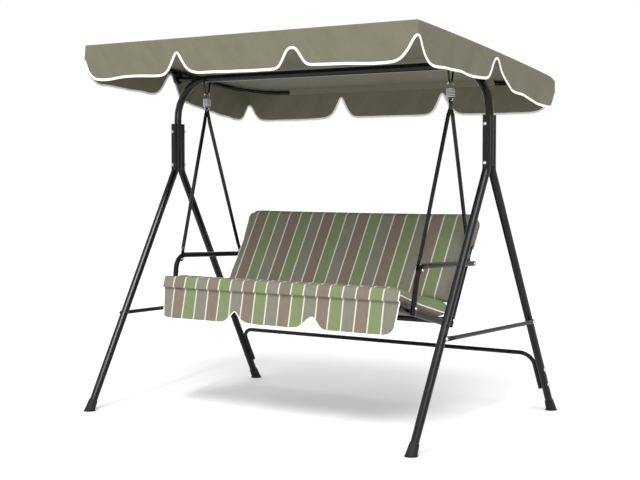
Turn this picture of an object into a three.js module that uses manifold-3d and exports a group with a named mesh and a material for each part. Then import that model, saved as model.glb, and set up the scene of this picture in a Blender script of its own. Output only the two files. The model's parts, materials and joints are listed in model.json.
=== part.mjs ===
// Three-seat canopy swing bench, in millimetres. +Z is up, the front faces -Y, and +X is on the
// right as one looks at the front. The origin is on the ground, midway between the four feet.
import * as THREE from "three";
import { mergeVertices } from "three/addons/utils/BufferGeometryUtils.js";
import Module from "manifold-3d";

const wasm = await Module();
wasm.setup();

// ---------------------------------------------------------------- driving dimensions
const GAP = 0.3; // clearance left between pieces that touch
const MAIN_R = 16; // legs and top beam, 32 mm tube
const MAIN_WALL = 1.5;
const MAIN_SIDES = 16;
const THIN_WALL = 1.2;
const PRESSED = 3; // thickness of a tube's end when pressed flat
const PRESSED_HALF_WIDTH = 10;
const SLIT = 0.6; // what is left of the tube's hollow in there
const FRAME_X = 785; // plane of each A-frame
const FOOT_Y = 567; // foot centre, front and rear
const SPLAY_Z = 1005; // height where a leg bends outwards
const JOINT_TOP_Z = 1214; // top of the twin leg joint
const LEG_TOP_Y = 21.5; // each leg top stands this far from the beam's end
const BEAM_Z = 1409; // axis of the top beam's level run
const BEAM_BEND = 175;
const BEAM_END_Z = 1020; // where the beam ends between the leg tops
const HANG_X = 615; // plane of the springs and hanger tubes
const LOOP_Z = 1344; // axis of the hanger loop's lowest rod
const EYE_Z = 1270; // hanger tubes' upper eyes
const CANOPY_X = 802; // half width of the cover
const CANOPY_FRONT = -558;
const CANOPY_REAR = 542;
const CANOPY_FRONT_Z = 1521; // top edge of the cover in front
const CANOPY_REAR_Z = 1383; // and behind
const CANOPY_ARCH = 7; // rise of the roof over a straight line
const CANOPY_PIVOT_Z = 1414;
const VALANCE = 145;
const RAIL_R = 8; // canopy rails, 16 mm tube
const RAIL_X = 790;
const SEAT_R = 12.5; // seat rails, 25 mm tube
const SEAT_RAIL_X = 572;
const FRONT_RAIL = { y: -308, z: 486 };
const REAR_RAIL = { y: 86, z: 403 };
const POST_R = 11; // back posts, 22 mm tube
const POST_X = 574;
const POST_FOOT = { y: 76.2, z: 383 };
const BACK_LEAN = 0.532; // backward run for each unit of rise
const BACK_TOP_Z = 800;
const ARM_X = 603;
const ARM_FOOT_X = 596.5; // an armrest's upright leans in to the side rail
const ARM_R = 11; // armrests, 22 mm tube
const ARM_FRONT = { y: -218, z: 642 };
const ARM_REAR = { y: 216, z: 628 };
const ARM_FOOT = { y: -247, z: 455 };
const ARM_BEND = 62;
const ROD_R = 8; // hanger tubes, 16 mm
const FRONT_BOLT = { y: -204.5, z: 625 }; // hanger and armrest, at the front bend
const REAR_BOLT = { y: 204, z: 628 }; // hanger, armrest and back post
const ARM_FOOT_BOLT = { y: -242.5, z: 482 }; // armrest foot and side rail
const BACK_BOLT = { y: 88.4, z: 406 }; // back post and side rail's tab
const TAB = 3; // thickness of the tab
const TAB_WIDTH = 19;
const TAB_OVERLAP = 33; // its length along the side rail it is welded to
const SIDE_RAIL_FRONT = { y: -315, z: 487.7 };
const SIDE_RAIL_REAR = { y: 66, z: 394 };
const CUSHION_X = 577;
const FLAP_X = 584;

// ---------------------------------------------------------------- materials
const FINISH = {
  steel: { color: 0x26272a, roughness: 0.38, metalness: 0.35 },
  zinc: { color: 0xb9bcc0, roughness: 0.32, metalness: 0.9 },
  plastic: { color: 0x1b1b1c, roughness: 0.6, metalness: 0 },
  canopy: { color: 0x8c8873, roughness: 0.9, metalness: 0 },
  sling: { color: 0x7d7a68, roughness: 0.9, metalness: 0 },
  stripes: { color: 0x96967f, roughness: 0.9, metalness: 0 },
};

// ---------------------------------------------------------------- points, paths and sections
const v3 = (x, y, z) => new THREE.Vector3(x, y, z);

/** A circle of points in a plane, first point on the +x side. */
function circlePoints(radius, sides) {
  return Array.from({ length: sides }, (_, i) => {
    const a = (2 * Math.PI * i) / sides;
    return new THREE.Vector2(radius * Math.cos(a), radius * Math.sin(a));
  });
}

/** A flat shape, with a hole if one is given, both wound the right way round. */
function shapeOf(outline, hole) {
  const clockwise = THREE.ShapeUtils.isClockWise(outline);
  const shape = new THREE.Shape(clockwise ? [...outline].reverse() : outline);
  if (hole) shape.holes.push(new THREE.Path(hole));
  return shape;
}

/** A solid round section, or a ring if a wall is given. */
function roundSection(radius, wall, sides) {
  return shapeOf(circlePoints(radius, sides), wall ? circlePoints(radius - wall, sides) : null);
}

/** A curve that steps from one chosen station to the next, whatever their distance. */
class StationCurve extends THREE.Curve {
  constructor(points) {
    super();
    this.points = points;
    this.steps = points.length - 1;
    this.tangents = points.map((p, i) => this.tangentOf(i));
  }

  tangentOf(i) {
    const here = this.points[i];
    const before = this.points[Math.max(i - 1, 0)];
    const after = this.points[Math.min(i + 1, this.steps)];
    const inward = here.clone().sub(before).normalize();
    const outward = after.clone().sub(here).normalize();
    return inward.add(outward).normalize();
  }

  getPoint(t, target = new THREE.Vector3()) {
    const at = Math.min(t * this.steps, this.steps);
    const i = Math.min(Math.floor(at + 1e-9), this.steps - 1);
    return target.lerpVectors(this.points[i], this.points[i + 1], at - i);
  }

  getTangent(t, target = new THREE.Vector3()) {
    return target.copy(this.tangents[Math.round(t * this.steps)]);
  }

  getPointAt(u, target) {
    return this.getPoint(u, target);
  }

  getTangentAt(u, target) {
    return this.getTangent(u, target);
  }
}

/** Corner points with bend radii become the stations of a bent tube's axis. */
function bentPath(corners, stepAngle = 0.2) {
  const points = [corners[0].p.clone()];
  for (let i = 1; i < corners.length - 1; i += 1) {
    const { p, r } = corners[i];
    const a = corners[i - 1].p.clone().sub(p).normalize();
    const b = corners[i + 1].p.clone().sub(p).normalize();
    const turn = Math.PI - a.angleTo(b);
    const reach = r * Math.tan(turn / 2);
    const centre = a.clone().add(b).normalize().multiplyScalar(r / Math.cos(turn / 2)).add(p);
    const from = a.clone().multiplyScalar(reach).add(p).sub(centre);
    const axis = b.clone().cross(a).normalize();
    const steps = Math.max(2, Math.ceil(turn / stepAngle));
    for (let k = 0; k <= steps; k += 1) {
      points.push(from.clone().applyAxisAngle(axis, (turn * k) / steps).add(centre));
    }
  }
  points.push(corners[corners.length - 1].p.clone());
  return points;
}

/** Sweeps a section along stations. */
function sweep(points, section) {
  const path = new StationCurve(points);
  return new THREE.ExtrudeGeometry(section, { extrudePath: path, steps: path.steps });
}

/** A tube, or a rod if the wall is 0. */
function tube(points, radius, wall, sides) {
  return sweep(points, roundSection(radius, wall, sides));
}

/** A closed skin over rings of equal length, ended by a fan at each end. */
function loft(rings) {
  const n = rings[0].length;
  const positions = rings.flat().flatMap((p) => [p.x, p.y, p.z]);
  const index = [];
  for (let r = 0; r < rings.length - 1; r += 1) {
    for (let i = 0; i < n; i += 1) {
      const a = r * n + i;
      const b = r * n + ((i + 1) % n);
      index.push(a, b, a + n, b, b + n, a + n);
    }
  }
  const last = (rings.length - 1) * n;
  for (let i = 1; i < n - 1; i += 1) {
    index.push(0, i + 1, i, last, last + i, last + i + 1);
  }
  const geometry = new THREE.BufferGeometry();
  geometry.setAttribute("position", new THREE.Float32BufferAttribute(positions, 3));
  geometry.setIndex(index);
  return geometry;
}

// ---------------------------------------------------------------- solids
/** The signed volume of an indexed closed mesh. */
function signedVolume(position, index) {
  const [a, b, c] = [v3(), v3(), v3()];
  let sum = 0;
  for (let i = 0; i < index.length; i += 3) {
    a.fromBufferAttribute(position, index[i]);
    b.fromBufferAttribute(position, index[i + 1]);
    c.fromBufferAttribute(position, index[i + 2]);
    sum += a.dot(b.cross(c));
  }
  return sum / 6;
}

/** A geometry as a manifold solid, its faces turned outwards. */
function solid(geometry) {
  const bare = new THREE.BufferGeometry();
  bare.setAttribute("position", geometry.getAttribute("position"));
  if (geometry.index) bare.setIndex(geometry.index);
  const merged = mergeVertices(bare, 1e-3);
  const triVerts = new Uint32Array(merged.index.array);
  if (signedVolume(merged.attributes.position, triVerts) < 0) {
    for (let i = 0; i < triVerts.length; i += 3) {
      [triVerts[i + 1], triVerts[i + 2]] = [triVerts[i + 2], triVerts[i + 1]];
    }
  }
  const vertProperties = new Float32Array(merged.attributes.position.array);
  return new wasm.Manifold(new wasm.Mesh({ numProp: 3, vertProperties, triVerts }));
}

/** A manifold solid back as a geometry. */
function geometryOf(made) {
  const mesh = made.getMesh();
  const geometry = new THREE.BufferGeometry();
  geometry.setAttribute("position", new THREE.Float32BufferAttribute(mesh.vertProperties, 3));
  geometry.setIndex(Array.from(mesh.triVerts));
  geometry.computeVertexNormals();
  return geometry;
}

/** The first solid joined with all the others. */
function joined(...geometries) {
  return geometries.map(solid).reduce((whole, piece) => whole.add(piece));
}

/** A closed round bar between two points, used for holes and shanks. */
function bar(from, to, radius, sides = 12) {
  return tube([from, to], radius, 0, sides);
}

/** A flattened tube end: a blade from one point to another with round ends, thin along X. */
function blade(from, to, width, x, thickness, sides = 12) {
  const half = width / 2;
  const along = to.clone().sub(from).normalize();
  const across = v3(1, 0, 0).cross(along).normalize();
  const outline = [];
  for (let k = 0; k <= sides / 2; k += 1) {
    const a = (Math.PI * k) / (sides / 2);
    outline.push([to, Math.sin(a) * half, Math.cos(a) * half]);
  }
  for (let k = 0; k <= sides / 2; k += 1) {
    const a = (Math.PI * k) / (sides / 2);
    outline.push([from, -Math.sin(a) * half, -Math.cos(a) * half]);
  }
  const ring = (at) =>
    outline.map(([end, forward, side]) => {
      const p = end.clone().addScaledVector(along, forward).addScaledVector(across, side);
      return v3(at, p.y, p.z);
    });
  return loft([ring(x - thickness / 2), ring(x + thickness / 2)]);
}

/** A tube's outline at one place: round at press 0, and flat, thin along X, at press 1. */
function pressedRing(centre, across, halfThick, halfWidth, press, sides) {
  const power = 1 - 0.75 * press;
  return Array.from({ length: sides }, (_, i) => {
    const a = (2 * Math.PI * i) / sides;
    const thin = Math.sign(Math.cos(a)) * Math.abs(Math.cos(a)) ** power * halfThick;
    return centre
      .clone()
      .addScaledVector(across, Math.sin(a) * halfWidth)
      .add(v3(thin, 0, 0));
  });
}

/**
 * A tube with both ends pressed flat and rounded. Each end gives the place of its bolt, the flat's
 * half width, its length past the bolt, and the X of the flat and of the round tube beyond it.
 */
function pressedTube(ends, radius) {
  const sides = 10;
  const axis = v3(0, ends[1].at.y - ends[0].at.y, ends[1].at.z - ends[0].at.z);
  const along = axis.clone().normalize();
  const across = v3(1, 0, 0).cross(along).normalize();
  const taper = 2.6 * radius;
  const outer = [];
  const inner = [];
  ends.forEach((end, i) => {
    const inward = along.clone().multiplyScalar(i ? -1 : 1);
    const place = (distance, x) =>
      v3(0, end.at.y, end.at.z).addScaledVector(inward, distance).setX(x);
    const w = end.halfWidth;
    const flat = (distance, width) =>
      pressedRing(place(distance, end.flatX), across, PRESSED / 2, width, 1, sides);
    const skin = [
      flat(-w, 0.4 * w),
      flat(-0.75 * w, 0.72 * w),
      flat(-0.4 * w, 0.93 * w),
      flat(0, w),
      flat(end.flat, w),
      pressedRing(place(end.flat + taper, end.tubeX), across, radius, radius, 0, sides),
    ];
    const bore = radius - THIN_WALL;
    const slit = (distance) =>
      pressedRing(place(distance, end.flatX), across, SLIT / 2, w - THIN_WALL, 1, sides);
    const hollow = [
      slit(0),
      slit(end.flat),
      pressedRing(place(end.flat + taper, end.tubeX), across, bore, bore, 0, sides),
    ];
    outer.push(...(i ? skin.reverse() : skin));
    inner.push(...(i ? hollow.reverse() : hollow));
  });
  return solid(loft(outer)).subtract(solid(loft(inner)));
}

// ---------------------------------------------------------------- the scene graph
const root = new THREE.Group();

/** Adds a named piece with a material of its own. */
function add(name, shape, finish) {
  const geometry = shape.isBufferGeometry ? geometryOf(solid(shape)) : geometryOf(shape);
  const mesh = new THREE.Mesh(geometry, new THREE.MeshStandardMaterial(FINISH[finish]));
  mesh.name = name;
  root.add(mesh);
}

/** Runs a builder for the left side (-1) and the right side (+1). */
function bothSides(build) {
  build(-1, "left");
  build(1, "right");
}

/** A point on a leg's axis below the bend, at a distance up from the foot centre. */
function legPoint(side, end, distance) {
  const along = v3(0, -end * (FOOT_Y - LEG_TOP_Y), SPLAY_Z).normalize();
  return v3(side * FRAME_X, end * FOOT_Y, 0).addScaledVector(along, distance);
}

/** Where a leg's axis passes a height, below the bend. */
function legY(end, z) {
  return end * (LEG_TOP_Y + ((FOOT_Y - LEG_TOP_Y) * (SPLAY_Z - z)) / SPLAY_Z);
}

// ---------------------------------------------------------------- legs and feet
const LEG_END = 14; // the tube stops this far up its axis, inside the foot
const JOINT_BOLTS_Z = [1180, 1032];
const JOINT_HEAD_R = 7.5;
const BOLT_R = 4;

/** The leg top's outline: a tube pressed hollow on one side to hug the beam's end. */
function crescentPoints(outer, hug, end, sides) {
  const nearest = (LEG_TOP_Y ** 2 + outer ** 2 - hug ** 2) / (2 * LEG_TOP_Y);
  const half = Math.sqrt(outer ** 2 - nearest ** 2);
  const open = Math.atan2(half, nearest);
  const hugHalf = Math.atan2(half, LEG_TOP_Y - nearest);
  const points = [];
  for (let k = 0; k <= sides; k += 1) {
    const a = open + ((2 * Math.PI - 2 * open) * k) / sides;
    points.push([outer * Math.sin(a), LEG_TOP_Y - outer * Math.cos(a)]);
  }
  const inner = Math.round(sides / 3);
  for (let k = 1; k < inner; k += 1) {
    const a = -hugHalf + (2 * hugHalf * k) / inner;
    points.push([hug * Math.sin(a), hug * Math.cos(a)]);
  }
  return points.map(([x, y]) => new THREE.Vector2(x, end * y));
}

function legTop(side, end) {
  const outline = crescentPoints(MAIN_R, MAIN_R + GAP, end, 14);
  const hollow = crescentPoints(MAIN_R - MAIN_WALL, MAIN_R + GAP + MAIN_WALL, end, 14);
  const bottom = BEAM_END_Z - 8;
  const geometry = new THREE.ExtrudeGeometry(shapeOf(outline, hollow), {
    depth: JOINT_TOP_Z - bottom,
    bevelEnabled: false,
  });
  return geometry.translate(side * FRAME_X, 0, bottom);
}

function jointHoles(side) {
  return JOINT_BOLTS_Z.map((z) =>
    bar(v3(side * FRAME_X, -60, z), v3(side * FRAME_X, 60, z), BOLT_R + GAP),
  );
}

function leg(side, end) {
  const x = side * FRAME_X;
  const lower = tube(
    bentPath([
      { p: v3(x, end * LEG_TOP_Y, BEAM_END_Z - 1) },
      { p: v3(x, end * LEG_TOP_Y, SPLAY_Z), r: 45 },
      { p: legPoint(side, end, LEG_END) },
    ]),
    MAIN_R,
    MAIN_WALL,
    MAIN_SIDES,
  );
  return jointHoles(side).reduce(
    (made, hole) => made.subtract(solid(hole)),
    joined(legTop(side, end), lower),
  );
}

/** A flared plastic boot with a flat horizontal sole. */
function foot(side, end) {
  const sides = 16;
  const centre = v3(side * FRAME_X, end * FOOT_Y, 0);
  const axis = legPoint(side, end, 1).sub(legPoint(side, end, 0));
  const across = axis.clone().cross(v3(1, 0, 0)).normalize();
  const level = (radius, z) =>
    circlePoints(radius, sides).map((p) => v3(centre.x + p.x, centre.y + p.y, z));
  const tilted = (radius, distance) =>
    circlePoints(radius, sides).map((p) =>
      centre.clone().addScaledVector(axis, distance).add(v3(p.x, 0, 0)).addScaledVector(across, p.y),
    );
  return loft([
    level(25, 0),
    level(25, 2.5),
    level(22.5, 4.5),
    tilted(18.6, 46),
    tilted(18, 48),
    tilted(MAIN_R + GAP, 48),
    tilted(MAIN_R + GAP, LEG_END - GAP),
  ]);
}

/** A domed bolt with its nut along one axis, head at the start. */
function bolt(from, to, shank, head) {
  const length = from.distanceTo(to);
  const profile = [
    [0, -head * 0.7],
    [head * 0.7, -head * 0.5],
    [head, 0],
    [shank, 0],
    [shank, length],
    [head * 0.95, length],
    [head * 0.95, length + head * 0.8],
    [shank, length + head * 0.8],
    [shank, length + head * 1.2],
    [0, length + head * 1.2],
  ].map(([r, y]) => new THREE.Vector2(r, y));
  const geometry = new THREE.LatheGeometry(profile, 10);
  const turn = new THREE.Quaternion().setFromUnitVectors(
    v3(0, 1, 0),
    to.clone().sub(from).normalize(),
  );
  return geometry.applyQuaternion(turn).translate(from.x, from.y, from.z);
}

function addLegs() {
  const ends = { front: -1, rear: 1 };
  bothSides((side, label) => {
    for (const [place, end] of Object.entries(ends)) {
      add(`${place}_leg_${label}`, leg(side, end), "steel");
      add(`foot_${place}_${label}`, foot(side, end), "plastic");
    }
    const reach = LEG_TOP_Y + MAIN_R + GAP;
    JOINT_BOLTS_Z.forEach((z, i) => {
      const x = side * FRAME_X;
      const name = `joint_bolt_${label}_${i ? "lower" : "upper"}`;
      add(name, bolt(v3(x, -reach, z), v3(x, reach, z), BOLT_R, JOINT_HEAD_R), "zinc");
    });
  });
}

// ---------------------------------------------------------------- top beam
const SPIGOT_REACH = 60;

function beamAxis(side) {
  return bentPath([
    { p: v3(side * FRAME_X, 0, BEAM_END_Z) },
    { p: v3(side * FRAME_X, 0, BEAM_Z), r: BEAM_BEND },
    { p: v3(side * GAP * 0.5, 0, BEAM_Z) },
  ]);
}

/** A reduced tube end that slides into the next tube, along +X from a point. */
function spigot(at, radius, wall, reach) {
  const inner = radius - wall;
  const profile = [
    [inner - wall, -reach * 0.5],
    [inner + wall * 0.4, -reach * 0.5],
    [inner + wall * 0.4, -1],
    [inner - GAP, -1],
    [inner - GAP, reach],
    [inner - wall, reach],
    [inner - wall, -reach * 0.5],
  ].map(([r, y]) => new THREE.Vector2(r, y));
  return new THREE.LatheGeometry(profile, 16)
    .rotateZ(-Math.PI / 2)
    .translate(at.x, at.y, at.z);
}

function topBeam(side) {
  const swept = tube(beamAxis(side), MAIN_R, MAIN_WALL, MAIN_SIDES);
  const whole =
    side < 0
      ? joined(swept, spigot(v3(-GAP, 0, BEAM_Z), MAIN_R, MAIN_WALL, SPIGOT_REACH))
      : solid(swept);
  return jointHoles(side).reduce((made, hole) => made.subtract(solid(hole)), whole);
}

/** A bent rod welded to the front and rear of the beam, its lowest point carrying a spring. */
function hangerLoop(side) {
  const x = side * HANG_X;
  const rod = 4;
  const hug = MAIN_R + rod + GAP;
  return tube(
    bentPath([
      { p: v3(x, -hug, BEAM_Z + 8) },
      { p: v3(x, -hug, BEAM_Z - 14), r: 12 },
      { p: v3(x, -10, LOOP_Z), r: 9 },
      { p: v3(x, 10, LOOP_Z), r: 9 },
      { p: v3(x, hug, BEAM_Z - 14), r: 12 },
      { p: v3(x, hug, BEAM_Z + 8) },
    ], 0.5),
    rod,
    0,
    10,
  );
}

const ARM_STUB_R = 10;
const ARM_STUB_START = 642;
const ARM_STUB_END = 776;
const ARM_PLUG = 14; // length of the threaded plug in its end
const ARM_PLUG_R = ARM_STUB_R - 0.5;

/** A stub that carries on outwards where the beam turns down, and takes the canopy's knob screw. */
function canopyArm(side) {
  const end = side * ARM_STUB_END;
  const stub = tube(
    [v3(side * ARM_STUB_START, 0, CANOPY_PIVOT_Z), v3(end, 0, CANOPY_PIVOT_Z)],
    ARM_STUB_R,
    THIN_WALL,
    12,
  );
  const plug = tube(
    [v3(end - side * ARM_PLUG, 0, CANOPY_PIVOT_Z), v3(end, 0, CANOPY_PIVOT_Z)],
    ARM_PLUG_R,
    ARM_PLUG_R - BOLT_R - GAP,
    12,
  );
  const beam = tube(beamAxis(side), MAIN_R + GAP, 0, MAIN_SIDES);
  return joined(stub, plug).subtract(solid(beam));
}

function addBeam() {
  bothSides((side, label) => {
    add(`top_beam_${label}`, topBeam(side), "steel");
    add(`hanger_loop_${label}`, hangerLoop(side), "steel");
    add(`canopy_arm_${label}`, canopyArm(side), "steel");
  });
}

// ---------------------------------------------------------------- braces and rear stabilizer
const BRACE_Z = 392;
const BRACE_R = 8.5;
const BRACE_FLAT = 24;

/** A side brace: a tube whose flattened ends lie on the outer side of both legs. */
function sideBrace(side) {
  const outer = FRAME_X + MAIN_R + GAP;
  const end = (towards) => ({
    at: { y: towards * legY(1, BRACE_Z), z: BRACE_Z },
    halfWidth: PRESSED_HALF_WIDTH,
    flat: BRACE_FLAT,
    flatX: side * (outer + PRESSED / 2),
    tubeX: side * (outer + BRACE_R / 2),
  });
  return [-1, 1].reduce(
    (made, towards) => {
      const at = v3(side * outer, towards * legY(1, BRACE_Z), BRACE_Z);
      const beyond = v3(side * 2 * PRESSED, 0, 0);
      const hole = bar(at.clone().sub(beyond), at.clone().add(beyond), BOLT_R);
      return made.subtract(solid(hole));
    },
    pressedTube([end(-1), end(1)], BRACE_R),
  );
}

const STABILIZER_R = 9;
const STABILIZER_Z = 251;
const STABILIZER_END_Z = 98;

/** One half of the rear stabilizer, its end laid down the inner side of the rear leg. */
function stabilizer(side) {
  const x = side * (FRAME_X - MAIN_R - STABILIZER_R - GAP);
  const swept = tube(
    bentPath([
      { p: v3(x, legY(1, STABILIZER_END_Z), STABILIZER_END_Z) },
      { p: v3(x, legY(1, STABILIZER_Z), STABILIZER_Z), r: 55 },
      { p: v3(side * GAP * 0.5, legY(1, STABILIZER_Z), STABILIZER_Z) },
    ]),
    STABILIZER_R,
    THIN_WALL,
    12,
  );
  if (side > 0) return swept;
  const at = v3(-GAP, legY(1, STABILIZER_Z), STABILIZER_Z);
  return joined(swept, spigot(at, STABILIZER_R, THIN_WALL, 40));
}

function addBraces() {
  bothSides((side, label) => {
    add(`side_brace_${label}`, sideBrace(side), "steel");
    add(`rear_stabilizer_${label}`, stabilizer(side), "steel");
  });
}

// ---------------------------------------------------------------- canopy
/** Height of the cover's top at a distance from front to rear. */
function roofZ(y) {
  const t = (y - CANOPY_FRONT) / (CANOPY_REAR - CANOPY_FRONT);
  const straight = CANOPY_FRONT_Z + (CANOPY_REAR_Z - CANOPY_FRONT_Z) * t;
  return straight + CANOPY_ARCH * 4 * t * (1 - t);
}

const RAIL_DROP = 12.5; // rail axis below the cover's top
const RAIL_INSET = 12; // rail axis inside the cover's front and rear faces
const RAIL_CORNER = 230;
const RAIL_LEAD = 10; // straight end of a side rail, past its corner
const RAIL_END_X = RAIL_X - RAIL_CORNER - RAIL_LEAD;

/** A side rail with its two big rounded corners, following the roof's slope. */
function canopySideRail(side) {
  const front = CANOPY_FRONT + RAIL_INSET;
  const rear = CANOPY_REAR - RAIL_INSET;
  const flat = [[RAIL_END_X, front]];
  const corner = (centreY, from) => {
    for (let k = 0; k <= 6; k += 1) {
      const a = from + (Math.PI / 2) * (k / 6);
      const x = RAIL_X - RAIL_CORNER + RAIL_CORNER * Math.sin(a);
      flat.push([x, centreY - RAIL_CORNER * Math.cos(a)]);
    }
  };
  corner(front + RAIL_CORNER, 0);
  flat.push([RAIL_X, 0]);
  corner(rear - RAIL_CORNER, Math.PI / 2);
  flat.push([RAIL_END_X, rear]);
  const stations = flat.map(([x, y]) => v3(side * x, y, roofZ(y) - RAIL_DROP));
  return tube(stations, RAIL_R, THIN_WALL, 12);
}

function canopyCrossRail(y) {
  const reach = RAIL_END_X - GAP;
  const z = roofZ(y) - RAIL_DROP;
  return tube([v3(-reach, y, z), v3(reach, y, z)], RAIL_R, THIN_WALL, 12);
}

const LUG_X = 779.5;
const LUG = 4;
const LUG_WIDTH = 44;
const KNOB_R = 20;
const KNOB_LOBE = 2.2;
const KNOB_LOBES = 6;

/** A lug on the inner side of the side rail, bored for the knob's screw. */
function canopyBracket(side) {
  const top = roofZ(0) - RAIL_DROP + 6;
  const topCentre = v3(0, 0, top - LUG_WIDTH / 2);
  const plate = blade(v3(0, 0, CANOPY_PIVOT_Z), topCentre, LUG_WIDTH, side * LUG_X, LUG, 16);
  const hole = bar(
    v3(side * (LUG_X - 10), 0, CANOPY_PIVOT_Z),
    v3(side * (LUG_X + 10), 0, CANOPY_PIVOT_Z),
    BOLT_R + 2 * GAP,
  );
  return solid(plate).subtract(solid(hole));
}

/** A six-lobed knob outside the lug, with its screw reaching into the canopy arm. */
function canopyKnob(side) {
  const inner = LUG_X + LUG / 2 + GAP;
  const outline = Array.from({ length: 36 }, (_, i) => {
    const a = (2 * Math.PI * i) / 36;
    const radius = KNOB_R + KNOB_LOBE * Math.cos(KNOB_LOBES * a);
    return new THREE.Vector2(radius * Math.cos(a), radius * Math.sin(a));
  });
  const head = new THREE.ExtrudeGeometry(new THREE.Shape(outline), {
    depth: 10,
    bevelEnabled: true,
    bevelThickness: 1.5,
    bevelSize: 1.5,
    bevelOffset: -1.5,
    bevelSegments: 1,
  })
    .rotateY(Math.PI / 2)
    .translate(inner + 2, 0, CANOPY_PIVOT_Z);
  const tip = v3(ARM_STUB_END - 24, 0, CANOPY_PIVOT_Z);
  const screw = bar(tip, v3(inner + 5, 0, CANOPY_PIVOT_Z), BOLT_R);
  const knob = joined(head, screw);
  return side > 0 ? knob : knob.mirror([1, 0, 0]);
}

/**
 * The lower edge of a scalloped valance along one side, from -half to half. Each notch gives its
 * place and how far below the top it reaches; the two ends are corner notches.
 */
function valanceEdge(half, notches, depth) {
  const stops = [{ at: -half, top: CORNER_NOTCH }, ...notches, { at: half, top: CORNER_NOTCH }];
  const edge = [];
  const steps = 9;
  for (let i = 0; i < stops.length - 1; i += 1) {
    const a = stops[i];
    const b = stops[i + 1];
    for (let k = i ? 1 : 0; k <= 2 * steps; k += 1) {
      const t = (1 - Math.cos((Math.PI * k) / (2 * steps))) / 2;
      const at = a.at + (b.at - a.at) * t;
      const fromEnd = Math.min(at - a.at, b.at - at) / NOTCH_HALF;
      const open = THREE.MathUtils.clamp(fromEnd, 0, 1);
      const ease = Math.sin((Math.PI / 2) * open) ** 0.8;
      const top = k <= steps ? a.top : b.top;
      edge.push(new THREE.Vector2(at, -(top + (depth - top) * ease)));
    }
  }
  return edge;
}

const CORNER_NOTCH = 56;
const NOTCH_HALF = 105; // from a notch's tip to where the hem runs level
const CLOTH = 3;
const FRONT_NOTCHES = [{ at: -297, top: 60 }, { at: 270, top: 72 }];
const REAR_NOTCHES = [{ at: -267, top: 47 }, { at: 267, top: 47 }];
const SIDE_NOTCH_LEFT = -22;
const SIDE_NOTCH_RIGHT = 26;
const SIDE_NOTCH_TOP = 32;

/** A front or rear valance, upright, its top under the roof's edge. */
function endValance(y, notches) {
  const reach = CANOPY_X;
  const top = roofZ(y);
  const edge = valanceEdge(reach, notches, VALANCE).map((p) => new THREE.Vector2(p.x, p.y + top));
  const shape = new THREE.Shape([
    new THREE.Vector2(reach, top - CLOTH),
    new THREE.Vector2(-reach, top - CLOTH),
    ...edge,
  ]);
  const geometry = new THREE.ExtrudeGeometry(shape, { depth: CLOTH, bevelEnabled: false });
  geometry.rotateX(Math.PI / 2);
  return geometry.translate(0, y > 0 ? y : y + CLOTH, 0);
}

/** A side valance, upright, its top following the arched roof. */
function sideValance(side, notchY) {
  const half = (CANOPY_REAR - CANOPY_FRONT) / 2;
  const middle = (CANOPY_REAR + CANOPY_FRONT) / 2;
  const notches = [{ at: notchY - middle, top: SIDE_NOTCH_TOP }];
  const edge = valanceEdge(half, notches, VALANCE).map(
    (p) => new THREE.Vector2(p.x + middle, p.y + roofZ(p.x + middle)),
  );
  const top = [];
  for (let k = 0; k <= 8; k += 1) {
    const y = CANOPY_REAR - ((CANOPY_REAR - CANOPY_FRONT) * k) / 8;
    top.push(new THREE.Vector2(y, roofZ(y) - 0.8 * CLOTH));
  }
  const geometry = new THREE.ExtrudeGeometry(new THREE.Shape([...top, ...edge]), {
    depth: CLOTH,
    bevelEnabled: false,
  });
  geometry.rotateX(Math.PI / 2).rotateZ(Math.PI / 2);
  return geometry.translate(side > 0 ? CANOPY_X - CLOTH : -CANOPY_X, 0, 0);
}

function roofSheet() {
  const upper = [];
  const lower = [];
  for (let k = 0; k <= 8; k += 1) {
    const y = CANOPY_FRONT + ((CANOPY_REAR - CANOPY_FRONT) * k) / 8;
    upper.push(new THREE.Vector2(y, roofZ(y)));
    lower.unshift(new THREE.Vector2(y, roofZ(y) - CLOTH));
  }
  const geometry = new THREE.ExtrudeGeometry(new THREE.Shape([...upper, ...lower]), {
    depth: 2 * CANOPY_X,
    bevelEnabled: false,
  });
  geometry.rotateX(Math.PI / 2).rotateZ(Math.PI / 2);
  return geometry.translate(-CANOPY_X, 0, 0);
}

function canopyCover() {
  return joined(
    roofSheet(),
    endValance(CANOPY_FRONT, FRONT_NOTCHES),
    endValance(CANOPY_REAR, REAR_NOTCHES),
    sideValance(-1, SIDE_NOTCH_LEFT),
    sideValance(1, SIDE_NOTCH_RIGHT),
  );
}

function addCanopy() {
  bothSides((side, label) => {
    add(`canopy_side_rail_${label}`, canopySideRail(side), "steel");
    add(`canopy_bracket_${label}`, canopyBracket(side), "steel");
    add(`canopy_knob_${label}`, canopyKnob(side), "plastic");
  });
  add("canopy_front_rail", canopyCrossRail(CANOPY_FRONT + RAIL_INSET), "steel");
  add("canopy_rear_rail", canopyCrossRail(CANOPY_REAR - RAIL_INSET), "steel");
  add("canopy_cover", canopyCover(), "canopy");
}

// ---------------------------------------------------------------- springs
const WIRE_R = 2.2;
const COIL_R = 16;
const COIL_TURNS = 5.5; // a half turn over, so that the two hooks leave from opposite sides
const COIL_PITCH = 6;
const COIL_FOOT_Z = 1288;
const EYE_R = 6; // hole in a hanger tube's upper end

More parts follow.
